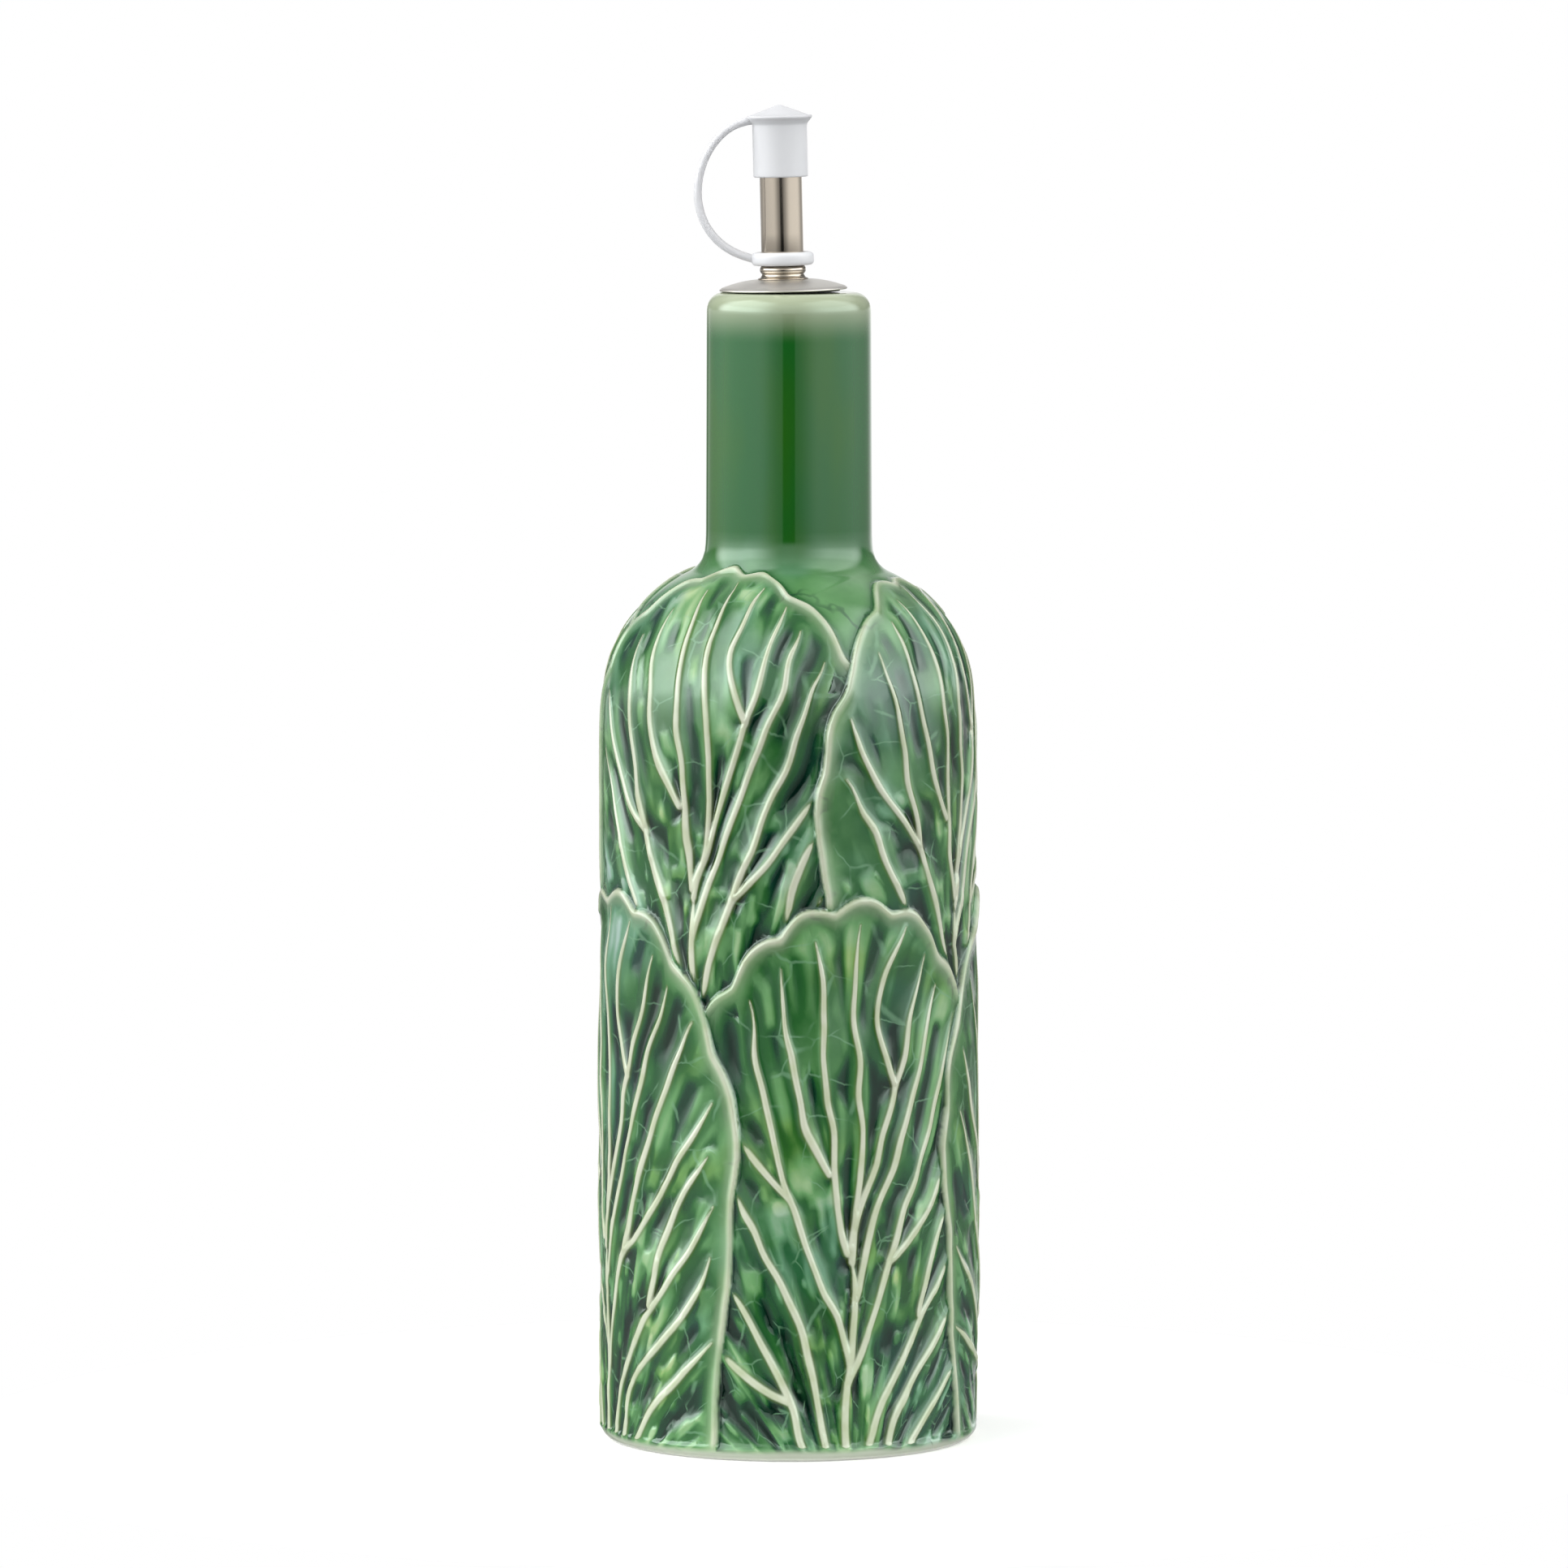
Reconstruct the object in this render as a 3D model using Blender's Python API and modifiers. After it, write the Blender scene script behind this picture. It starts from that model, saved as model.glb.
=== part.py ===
"""Leaf-moulded ceramic oil bottle with a steel pourer and a tethered cap.

The bottle stands upright with its axis on Z and the centre of its foot at the
origin. -Y is the front. Sizes below are in millimetres and degrees, and the
mesh is in metres.
"""

import math

import bmesh
import bpy
import numpy as np
from mathutils import Matrix, Vector

MM = 0.001

# Bottle body
BODY_RADIUS = 44.6
BODY_TOP = 173.2
FOOT_RADIUS = 41.6
FOOT_CORNER = 3.2
FOOT_INNER = 36.5
FOOT_RECESS = 1.2
SHOULDER_ARC = 34.0
NECK_FILLET = 7.0
NECK_RADIUS_LOW = 19.95
NECK_RADIUS_TOP = 19.45
LIP_ROUNDING = 4.2
LIP_TOP = 272.2
BARE_DEPTH = 0.9
HIDDEN_DEPTH = 2.4
SLEEVE_WALL = 4.0
BAND_TOP = 4.4
TURN_STEPS = 60

# Leaves: two tiers of four on the turned body
UPPER_TIP = 218.5
UPPER_MIDDLES = (-116.5, -28.0, 64.0, 153.5)
LOWER_TIP = 132.5
LOWER_MIDDLES = (17.5, 197.5, 109.5, -71.5)
LEAF_SQUARENESS = 1.8
LEAF_HALF_ANGLE = 55.5
LEAF_ROUND = 60.0
RIM_WIDTH = 3.6
RIM_RISE = 0.78
VEIN_RISE = 0.75
PANEL_SINK = 0.35
EDGE_GROOVE = 0.45
UPPER_LEVEL = -0.15
LOWER_LEVEL = -0.1
OVERLAP_TILT = 0.3
SLEEVE_COLUMNS = 480
SLEEVE_ROW = 0.8
SLEEVE_KEEP = 0.0235

# Pourer, washer and cap
POURER_SHIFT = -1.3
POURER_LEAN = 1.3
WASHER_RADIUS = 13.4
WASHER_LOW = 272.5
WASHER_HIGH = 272.85
PLATE_RADIUS = 15.1
PLATE_RIM_LOW = 272.65
PLATE_RISE = 2.0
PLATE_WALL = 0.5
TUBE_RADIUS = 5.0
TUBE_BORE = 4.2
TUBE_TOP = 311.0
BEAD_RADIUS = 5.35
FLARE_RADIUS = 6.0
FIT_GAP = 0.3
CAP_RADIUS = 6.45
CAP_LOW = 299.3
BRIM_LOW = 312.0
BRIM_RADIUS = 7.7
BRIM_HIGH = 313.6
CAP_TIP = 316.3
RING_RADIUS = 7.4
RING_LOW = 278.5
RING_HIGH = 281.6
STRAP_WIDTH = 3.0
STRAP_THICKNESS = 1.9

# The strap's middle line, out to the left of the pourer's axis and up from the foot
STRAP_ROUTE = (
    (-5.9, 312.75), (-10.2, 312.5), (-15.2, 309.0), (-18.9, 302.4),
    (-20.1, 295.2), (-18.6, 288.6), (-14.6, 283.4), (-10.2, 281.0), (-6.4, 280.0),
)

# Leaf veins as four-point curves: degrees from the leaf's middle and millimetres below
# its tip, from the outer end of the vein to where it joins another or leaves the leaf
VEINS = (
    ((2, 4), (-3, 30), (7, 58), (-1, 84)),
    ((-1, 84), (-1, 98), (-3, 112), (-2, 136)),
    ((-12, 8), (-7, 25), (-11, 52), (-2, 82)),
    ((-23, 15), (-21, 35), (-19, 50), (-8, 63)),
    ((-33, 23), (-26, 60), (-22, 64), (-2, 108)),
    ((-44, 38), (-38, 54), (-30, 62), (-20, 69)),
    ((16, 6), (8, 20), (6, 32), (14, 43)),
    ((26, 13), (16, 36), (14, 44), (-1, 81)),
    ((32, 20), (24, 38), (18, 48), (-1, 93)),
    ((40, 28), (27, 50), (20, 68), (-2, 112)),
    ((46, 47), (33, 66), (25, 76), (12, 84)),
    ((45, 60), (34, 74), (25, 86), (24, 97)),
    ((48, 72), (33, 92), (9, 108), (3, 134)),
    ((46, 84), (33, 112), (14, 106), (10, 134)),
    ((47, 104), (34, 118), (24, 122), (14, 134)),
    ((-46, 52), (-27, 80), (-12, 108), (-7, 134)),
    ((-47, 84), (-30, 100), (-22, 112), (-13, 134)),
    ((-48, 103), (-38, 108), (-30, 114), (-22, 116)),
)


def principled(name, colour, roughness, metallic=0.0):
    """Make a material with one Principled shader."""
    material = bpy.data.materials.new(name)
    material.use_nodes = True
    shader = material.node_tree.nodes["Principled BSDF"]
    shader.inputs["Base Color"].default_value = (*colour, 1.0)
    shader.inputs["Roughness"].default_value = roughness
    shader.inputs["Metallic"].default_value = metallic
    return material


def link(mesh, name, collection, material=None):
    """Put a mesh into the scene as a named object."""
    item = bpy.data.objects.new(name, mesh)
    collection.objects.link(item)
    if material is not None:
        mesh.materials.clear()
        mesh.materials.append(material)
    return item


def settled(item, name, collection, material=None):
    """Return a new object with the item's modifiers built in."""
    graph = bpy.context.evaluated_depsgraph_get()
    mesh = bpy.data.meshes.new_from_object(item.evaluated_get(graph))
    place = item.matrix_world.copy()
    bpy.data.objects.remove(item)
    result = link(mesh, name, collection, material)
    result.matrix_world = place
    return result


def turned(name, profile, steps, collection, closed=False):
    """Turn a profile of (radius, height) pairs in millimetres about the Z axis."""
    points = [(r * MM, 0.0, z * MM) for r, z in profile]
    edges = [(i, i + 1) for i in range(len(points) - 1)]
    if closed:
        edges.append((len(points) - 1, 0))
    mesh = bpy.data.meshes.new(name)
    mesh.from_pydata(points, edges, [])
    item = link(mesh, name, collection)
    screw = item.modifiers.new("Turn", "SCREW")
    screw.axis = "Z"
    screw.angle = math.tau
    screw.steps = steps
    screw.render_steps = steps
    screw.use_merge_vertices = True
    screw.merge_threshold = 0.000001
    return settled(item, name, collection)


def arc(centre_r, centre_z, radius, start, end, count):
    """Points on an arc in the profile plane, angles in degrees from +X."""
    angles = np.radians(np.linspace(start, end, count))
    return [(centre_r + radius * math.cos(a), centre_z + radius * math.sin(a)) for a in angles]


def combine(item, other, operation):
    """Join or cut an object with another by a Boolean, and remove the other."""
    boolean = item.modifiers.new(operation.title(), "BOOLEAN")
    boolean.operation = operation
    boolean.solver = "EXACT"
    boolean.object = other
    name = item.name
    collection = item.users_collection[0]
    item.name = name + "_blank"
    bpy.context.view_layer.update()
    result = settled(item, name, collection)
    bpy.data.objects.remove(other)
    return result


def smooth_round(item, angle=35.0):
    """Shade an object smooth and keep its corners sharp."""
    item.data.shade_smooth()
    item.data.set_sharp_from_angle(angle=math.radians(angle))


def outer_profile(count=15):
    """The bottle's outer line from the foot's contact circle up to the neck."""
    points = arc(FOOT_RADIUS, FOOT_CORNER, FOOT_CORNER, -90.0, 0.0, 7)
    points += [(BODY_RADIUS, z) for z in np.linspace(FOOT_CORNER, BODY_TOP, 2 * count)[1:-1]]
    dome_r = BODY_RADIUS - SHOULDER_ARC
    fillet_r = NECK_RADIUS_LOW + NECK_FILLET
    rise = math.sqrt((SHOULDER_ARC + NECK_FILLET) ** 2 - (fillet_r - dome_r) ** 2)
    meet = math.degrees(math.atan2(rise, fillet_r - dome_r))
    fillet_z = BODY_TOP + rise
    points += arc(dome_r, BODY_TOP, SHOULDER_ARC, 0.0, meet, count)
    points += arc(fillet_r, fillet_z, NECK_FILLET, 180.0 + meet, 180.0, 6)[1:]
    return points


def along(points):
    """Distance along a profile line at each of its points."""
    steps = np.hypot(*np.diff(np.array(points), axis=0).T)
    return np.concatenate([[0.0], np.cumsum(steps)])


def smoothstep(low, high, value):
    """Ease from 0 at low to 1 at high."""
    t = np.clip((value - low) / (high - low), 0.0, 1.0)
    return t * t * (3.0 - 2.0 * t)


def vein_points(curve, count=14):
    """Points along one vein, in millimetres across and down the leaf."""
    a, b, c, d = (np.array(p, dtype=float) for p in curve)
    t = np.linspace(0.0, 1.0, count)[:, None]
    line = a * (1 - t) ** 3 + 3 * b * t * (1 - t) ** 2 + 3 * c * t * t * (1 - t) + d * t ** 3
    line[:, 0] *= math.radians(BODY_RADIUS)
    return line


def vein_height(x, w):
    """Height of the veins' rounded ridges at points across and down the leaf."""
    height = np.zeros_like(x)
    for curve in VEINS:
        line = vein_points(curve)
        total = len(line) - 1
        for i in range(total):
            (x0, w0), (x1, w1) = line[i], line[i + 1]
            dx, dw = x1 - x0, w1 - w0
            t = np.clip(((x - x0) * dx + (w - w0) * dw) / (dx * dx + dw * dw), 0.0, 1.0)
            away = np.hypot(x - x0 - t * dx, w - w0 - t * dw)
            run = (i + t) / total
            half = 1.25 + 0.012 * (w0 + t * dw)
            rise = VEIN_RISE * smoothstep(-0.12, 0.2, run)
            height = np.maximum(height, rise * np.exp(-(away / half) ** 2 * 1.3))
    return height


def leaf_edge(x, w):
    """Distance inward from a leaf's wavy outline, in millimetres."""
    half = math.radians(LEAF_HALF_ANGLE) * BODY_RADIUS
    up = np.clip(LEAF_ROUND - w, 0.0, None)
    across = np.abs(x) / half
    down = up / LEAF_ROUND
    power = LEAF_SQUARENESS
    ratio = np.clip(across ** power + down ** power, 0.0001, None) ** (1.0 / power)
    turn = np.arctan2(x / half, down)
    wave = 0.022 * np.sin(7.0 * turn + 0.6) + 0.014 * np.sin(12.0 * turn + 2.0)
    wave += 0.012 * np.sin(w / 6.5) * smoothstep(40.0, 70.0, w)
    lean = np.hypot(across ** (power - 1.0) / half, down ** (power - 1.0) / LEAF_ROUND)
    slope = lean * ratio ** (1.0 - power)
    return (1.0 + wave - ratio) / np.clip(slope, 0.012, None)


def leaf_order():
    """Leaves from the lowest layer up: middle angle, tip, level, tilt, left part only."""
    tiers = [(mid, UPPER_TIP, UPPER_LEVEL, -OVERLAP_TILT, False) for mid in UPPER_MIDDLES]
    tiers.append((UPPER_MIDDLES[0], UPPER_TIP, UPPER_LEVEL, -OVERLAP_TILT, True))
    for mid in LOWER_MIDDLES[:2]:
        tiers.append((mid, LOWER_TIP, LOWER_LEVEL, 0.0, False))
    for mid in LOWER_MIDDLES[2:]:
        tiers.append((mid, LOWER_TIP, LOWER_LEVEL + OVERLAP_TILT, 0.0, False))
    return tiers


def relief(angle, run):
    """Height of the leaf relief above the turned line, by angle and distance up it."""
    height = np.full(np.broadcast(angle, run).shape, -HIDDEN_DEPTH)
    for middle, tip, level, tilt, left_only in leaf_order():
        turn = (angle - middle + 180.0) % 360.0 - 180.0
        x = math.radians(1.0) * turn * BODY_RADIUS
        w = tip - run
        edge = leaf_edge(x, w)
        near = (edge > -6.0) & (np.abs(turn) < 75.0)
        if left_only:
            near &= turn < 0.0
        if not near.any():
            continue
        xs, ws, es = x[near], w[near], edge[near]
        veins = vein_height(xs, ws)
        blade = level + tilt * xs / 40.0 - PANEL_SINK * smoothstep(1.0, 6.0, es)
        rim = RIM_RISE * np.exp(-((es - 0.5 * RIM_WIDTH) / (0.42 * RIM_WIDTH)) ** 2)
        leaf = blade + np.maximum(rim, veins * smoothstep(0.5, 4.0, es))
        below = height[near] - EDGE_GROOVE * np.exp(np.clip(es, None, 0.0) / 1.6)
        cover = smoothstep(-0.3, 0.9, es)
        height[near] = below * (1.0 - cover) + leaf * cover
    return height


def make_core(collection):
    """The turned bottle: foot, hidden side, bare shoulder, neck and lip."""
    line = outer_profile()
    run = along(line)
    points = np.array(line)
    slope = np.gradient(points, axis=0)
    normal = np.stack([slope[:, 1], -slope[:, 0]], axis=1)
    normal /= np.linalg.norm(normal, axis=1)[:, None]
    full = run[-1]
    depth = BARE_DEPTH * smoothstep(full, full - 12.0, run)
    depth = np.where(run < 170.0, HIDDEN_DEPTH * smoothstep(BAND_TOP, BAND_TOP + 2.5, run), depth)
    inner = points - normal * depth[:, None]
    keep = [0]
    for i in range(1, len(inner)):
        straight = 12.0 < run[i] < 168.0
        if not straight:
            keep.append(i)
    side = [tuple(inner[i]) for i in keep]
    neck_z = np.linspace(line[-1][1], LIP_TOP - 2.6 * LIP_ROUNDING, 5)[1:]
    neck = [(np.interp(z, (neck_z[0], LIP_TOP), (NECK_RADIUS_LOW, NECK_RADIUS_TOP)), z) for z in neck_z]
    lip = []
    for a in np.radians(np.linspace(0.0, 90.0, 7)):
        r = NECK_RADIUS_TOP - LIP_ROUNDING * (1.0 - math.cos(a))
        lip.append((r, LIP_TOP - LIP_ROUNDING + LIP_ROUNDING * math.sin(a)))
    foot = [(0.0, FOOT_RECESS), (FOOT_INNER - 1.2, FOOT_RECESS), (FOOT_INNER, 0.0)]
    profile = foot + side + neck + lip + [(0.0, LIP_TOP)]
    return turned("bottle_core", profile[::-1], TURN_STEPS, collection)


def make_sleeve(collection):
    """The band of overlapping leaves as a closed shell round the core."""
    line = outer_profile(90)
    run = along(line)
    points = np.array(line)
    levels = np.arange(BAND_TOP - 0.6, run[-1] - 1.0, SLEEVE_ROW)
    outer = np.stack([np.interp(levels, run, points[:, 0]), np.interp(levels, run, points[:, 1])], axis=1)
    slope = np.gradient(outer, axis=0)
    normal = np.stack([slope[:, 1], -slope[:, 0]], axis=1)
    normal /= np.linalg.norm(normal, axis=1)[:, None]
    inner = [tuple(outer[i] - normal[i] * SLEEVE_WALL) for i in range(0, len(outer), 12)]
    inner.append(tuple(outer[-1] - normal[-1] * SLEEVE_WALL))
    profile = [tuple(p) for p in outer[::-1]] + inner
    sleeve = turned("leaf_sleeve", profile, SLEEVE_COLUMNS, collection, closed=True)
    mesh = sleeve.data
    place = np.empty(3 * len(mesh.vertices), dtype=np.float32)
    mesh.vertices.foreach_get("co", place)
    place = place.reshape(-1, 3).astype(float) / MM
    radius = np.hypot(place[:, 0], place[:, 1])
    angle = np.degrees(np.arctan2(place[:, 0], -place[:, 1]))
    gap = np.hypot(radius[:, None] - outer[None, :, 0], place[:, 2][:, None] - outer[None, :, 1])
    row = gap.argmin(axis=1)
    on_skin = gap[np.arange(len(row)), row] < 0.01
    height = np.zeros(len(row))
    height[on_skin] = relief(angle[on_skin], levels[row[on_skin]])
    ends = smoothstep(BAND_TOP - 0.6, BAND_TOP + 0.8, levels[row])
    height = np.where(on_skin, -HIDDEN_DEPTH + (height + HIDDEN_DEPTH) * ends, 0.0)
    height = np.round(height, 4)
    place[:, 2] += height * normal[row, 1]
    push = height * normal[row, 0] / np.maximum(radius, 1.0)
    place[:, 0] += place[:, 0] * push
    place[:, 1] += place[:, 1] * push
    mesh.vertices.foreach_set("co", (place * MM).astype(np.float32).ravel())
    mesh.update()
    thin = sleeve.modifiers.new("Thin", "DECIMATE")
    thin.decimate_type = "COLLAPSE"
    thin.ratio = SLEEVE_KEEP
    return settled(sleeve, "leaf_sleeve", collection)


def lean_pourer(item):
    """Lean a piece of the pourer to the left and build the turn into its mesh."""
    pivot = Vector((0.0, 0.0, PLATE_RIM_LOW * MM))
    turn = Matrix.Rotation(math.radians(-POURER_LEAN), 4, "Y")
    place = Matrix.Translation(pivot + Vector((POURER_SHIFT * MM, 0.0, 0.0))) @ turn @ Matrix.Translation(-pivot)
    item.data.transform(place)
    return item


def make_plate(collection):
    """The domed plate that covers the lip: a thin shell with a flat boss."""
    rise = PLATE_RIM_LOW + PLATE_RISE
    top = [(0.0, rise + PLATE_WALL)]
    for r in np.linspace(6.4, PLATE_RADIUS - 0.4, 6):
        drop = ((r - 6.4) / (PLATE_RADIUS - 6.4)) ** 1.7
        top.append((r, rise + PLATE_WALL - (PLATE_RISE - 0.1) * drop))
    top += [(PLATE_RADIUS, PLATE_RIM_LOW + 0.35), (PLATE_RADIUS, PLATE_RIM_LOW)]
    under = []
    for r in np.linspace(PLATE_RADIUS - 0.5, 6.0, 4):
        drop = ((r - 6.0) / (PLATE_RADIUS - 6.0)) ** 1.7
        under.append((r, rise - PLATE_RISE * drop))
    under.append((0.0, rise))
    return lean_pourer(turned("pourer_plate", top + under, 40, collection))


def make_tube(collection):
    """The pouring tube with its flared foot and rolled bead, shut below and open above."""
    foot = PLATE_RIM_LOW + PLATE_RISE + PLATE_WALL + FIT_GAP
    profile = [(0.0, TUBE_TOP - 12.0), (TUBE_BORE, TUBE_TOP - 12.0), (TUBE_BORE, TUBE_TOP)]
    profile += [(TUBE_RADIUS - 0.1, TUBE_TOP), (TUBE_RADIUS, TUBE_TOP - 0.2)]
    profile += [(TUBE_RADIUS, foot + 3.1)]
    bead = arc(TUBE_RADIUS - 0.35, foot + 2.25, BEAD_RADIUS - TUBE_RADIUS + 0.35, 60.0, -60.0, 5)
    profile += bead
    profile += [(TUBE_RADIUS, foot + 1.2), (TUBE_RADIUS + 0.15, foot + 0.6), (FLARE_RADIUS, foot)]
    profile += [(0.0, foot)]
    return lean_pourer(turned("pourer_tube", profile, 36, collection))


def make_washer(collection):
    """The thin black washer between the lip and the plate."""
    profile = [(0.0, WASHER_HIGH), (WASHER_RADIUS, WASHER_HIGH), (WASHER_RADIUS, WASHER_LOW), (0.0, WASHER_LOW)]
    washer = turned("stopper_washer", profile, 40, collection)
    washer.data.transform(Matrix.Translation((POURER_SHIFT * MM, 0.0, 0.0)))
    return washer


def make_strap(collection):
    """The curved strap as a rounded band swept along its route."""
    curve = bpy.data.curves.new("strap", "CURVE")
    curve.dimensions = "3D"
    curve.fill_mode = "FULL"
    curve.twist_mode = "Z_UP"
    curve.resolution_u = 3
    curve.bevel_depth = 0.5 * STRAP_THICKNESS * MM
    curve.bevel_resolution = 2
    curve.extrude = 0.5 * (STRAP_WIDTH - STRAP_THICKNESS) * MM
    curve.use_fill_caps = True
    spline = curve.splines.new("NURBS")
    spline.points.add(len(STRAP_ROUTE) - 1)
    for point, (x, z) in zip(spline.points, STRAP_ROUTE):
        point.co = (x * MM, z * MM, 0.0, 1.0)
    spline.order_u = 4
    spline.use_endpoint_u = True
    guide = bpy.data.objects.new("strap_guide", curve)
    collection.objects.link(guide)
    strap = settled(guide, "strap", collection)
    shape = bmesh.new()
    shape.from_mesh(strap.data)
    bmesh.ops.remove_doubles(shape, verts=shape.verts, dist=0.00001)
    bmesh.ops.rotate(shape, verts=shape.verts, matrix=Matrix.Rotation(math.radians(90.0), 3, "X"))
    bmesh.ops.recalc_face_normals(shape, faces=shape.faces)
    shape.to_mesh(strap.data)
    shape.free()
    return strap


def make_cap(collection):
    """The cap, its strap and the ring round the tube, moulded as one piece."""
    bore = TUBE_RADIUS + FIT_GAP
    profile = [(0.0, CAP_TIP), (0.5, CAP_TIP), (BRIM_RADIUS - 0.4, BRIM_HIGH + 0.25)]
    profile += [(BRIM_RADIUS, BRIM_HIGH - 0.1), (BRIM_RADIUS - 0.15, BRIM_HIGH - 0.5)]
    profile += [(CAP_RADIUS + 0.1, BRIM_LOW), (CAP_RADIUS, BRIM_LOW - 0.4)]
    profile += [(CAP_RADIUS, CAP_LOW + 0.35), (CAP_RADIUS - 0.35, CAP_LOW), (bore, CAP_LOW)]
    profile += [(bore, TUBE_TOP + 0.5), (0.0, TUBE_TOP + 0.5)]
    cap = turned("tether_cap", profile, 40, collection)
    inner = bore
    round_off = 0.45
    ring_profile = [
        (inner, RING_HIGH), (RING_RADIUS - round_off, RING_HIGH), (RING_RADIUS, RING_HIGH - round_off),
        (RING_RADIUS, RING_LOW + round_off), (RING_RADIUS - round_off, RING_LOW), (inner, RING_LOW),
    ]
    ring = turned("tether_ring", ring_profile, 36, collection, closed=True)
    cap = combine(cap, make_strap(collection), "UNION")
    cap = combine(cap, ring, "UNION")
    return lean_pourer(cap)


def main():
    for item in list(bpy.data.objects):
        bpy.data.objects.remove(item)
    collection = bpy.data.collections.new("ceramic_bottle")
    bpy.context.scene.collection.children.link(collection)

    core = make_core(collection)
    core.name = "bottle"
    bottle = combine(core, make_sleeve(collection), "UNION")
    washer = make_washer(collection)
    plate = make_plate(collection)
    tube = make_tube(collection)
    cap = make_cap(collection)

    looks = (
        (bottle, principled("green_glaze", (0.09, 0.24, 0.13), 0.08)),
        (washer, principled("black_rubber", (0.02, 0.02, 0.02), 0.6)),
        (plate, principled("polished_steel", (0.62, 0.61, 0.59), 0.15, 1.0)),
        (tube, principled("satin_steel", (0.56, 0.54, 0.51), 0.3, 1.0)),
        (cap, principled("clear_white_plastic", (0.85, 0.87, 0.87), 0.35)),
    )
    for item, material in looks:
        item.data.materials.clear()
        item.data.materials.append(material)
        smooth_round(item)


main()
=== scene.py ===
"""Ceramic oil bottle with moulded leaves, a steel pourer and a tethered cap.

The bottle stands on Z with its foot at the origin and its front towards -Y.
Lengths in the classes are in millimetres; meshes are in metres.
"""

from __future__ import annotations

import logging
import math
from dataclasses import dataclass, field
from enum import Enum

import bmesh
import bpy
import numpy as np
from mathutils import Matrix, Vector


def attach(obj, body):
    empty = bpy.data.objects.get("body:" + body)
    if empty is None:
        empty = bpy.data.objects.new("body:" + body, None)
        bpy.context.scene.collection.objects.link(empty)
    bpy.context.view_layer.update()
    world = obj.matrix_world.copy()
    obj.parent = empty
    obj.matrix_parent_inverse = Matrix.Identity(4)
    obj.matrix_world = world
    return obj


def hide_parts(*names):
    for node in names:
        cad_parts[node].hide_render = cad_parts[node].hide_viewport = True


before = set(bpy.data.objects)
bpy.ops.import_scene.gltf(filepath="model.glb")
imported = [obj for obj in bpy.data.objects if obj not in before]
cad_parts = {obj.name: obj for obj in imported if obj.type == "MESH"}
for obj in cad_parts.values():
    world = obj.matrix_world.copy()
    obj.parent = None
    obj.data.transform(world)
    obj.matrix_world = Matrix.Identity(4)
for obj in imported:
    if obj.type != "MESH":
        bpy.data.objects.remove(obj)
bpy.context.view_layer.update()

MM = 0.001
MERGE = 0.000002
LATTICE = 64
LOG = logging.getLogger("bottle")

Profile = list[tuple[float, float]]
Colour = tuple[float, float, float]
Axes = tuple[float, float, float]
Span = tuple[float, float]


class Slot(Enum):
    """Finishes named in the record."""

    GLAZE = "green_glaze"
    RUBBER = "black_rubber"
    POLISHED = "polished_steel"
    SATIN = "satin_steel"
    PLASTIC = "white_plastic"


def smoothstep(low: float, high: float, value: np.ndarray) -> np.ndarray:
    """Ease from 0 at low to 1 at high.

    Args:
        low: Value where the result starts to rise.
        high: Value where the result is one.
        value: Values to ease.

    Returns:
        The eased values, from 0 to 1.
    """
    t = np.clip((value - low) / (high - low), 0.0, 1.0)
    return t * t * (3.0 - 2.0 * t)


def lattice_noise(x: np.ndarray, y: np.ndarray, seed: int) -> np.ndarray:
    """Smooth noise from a seeded lattice with a spacing of one.

    Args:
        x: First coordinate, in lattice steps.
        y: Second coordinate, in lattice steps.
        seed: Seed of the lattice.

    Returns:
        Noise from 0 to 1, with the shape of x and y together.
    """
    table = np.random.default_rng(seed).random((LATTICE, LATTICE))
    xi = np.floor(x).astype(int)
    yi = np.floor(y).astype(int)
    fx = smoothstep(0.0, 1.0, x - xi)
    fy = smoothstep(0.0, 1.0, y - yi)
    x0, x1 = xi % LATTICE, (xi + 1) % LATTICE
    y0, y1 = yi % LATTICE, (yi + 1) % LATTICE
    low = table[y0, x0] * (1 - fx) + table[y0, x1] * fx
    high = table[y1, x0] * (1 - fx) + table[y1, x1] * fx
    return low * (1 - fy) + high * fy


def between(grid: np.ndarray, u: np.ndarray, v: np.ndarray) -> np.ndarray:
    """Read a grid between its points, with its rows closed to rings.

    Args:
        grid: Values in rows.
        u: Places along the rows, in steps.
        v: Places across the rows, in steps.

    Returns:
        Values at the places asked for.
    """
    count = grid.shape[1]
    v = np.clip(v, 0.0, grid.shape[0] - 1.001)
    i, j = np.floor(u).astype(int), v.astype(int)
    fu, fv = u - i, v - j
    i0, i1 = i % count, (i + 1) % count
    low = grid[j, i0] * (1 - fu) + grid[j, i1] * fu
    high = grid[j + 1, i0] * (1 - fu) + grid[j + 1, i1] * fu
    return low * (1 - fv) + high * fv


def arc(centre_r: float, centre_z: float, radius: float, start: float, end: float, count: int) -> Profile:
    """Points on an arc in the profile plane.

    Args:
        centre_r: Radius of the arc's centre from the axis.
        centre_z: Height of the arc's centre.
        radius: Radius of the arc.
        start: First angle in degrees from outward.
        end: Last angle in degrees.
        count: Number of points.

    Returns:
        Pairs of radius and height.
    """
    angles = np.radians(np.linspace(start, end, count))
    return [(centre_r + radius * math.cos(a), centre_z + radius * math.sin(a)) for a in angles]


def add_object(mesh: bpy.types.Mesh, name: str) -> bpy.types.Object:
    """Put a mesh into the scene as a piece with a name."""
    piece = bpy.data.objects.new(name, mesh)
    bpy.context.scene.collection.objects.link(piece)
    return piece


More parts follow.
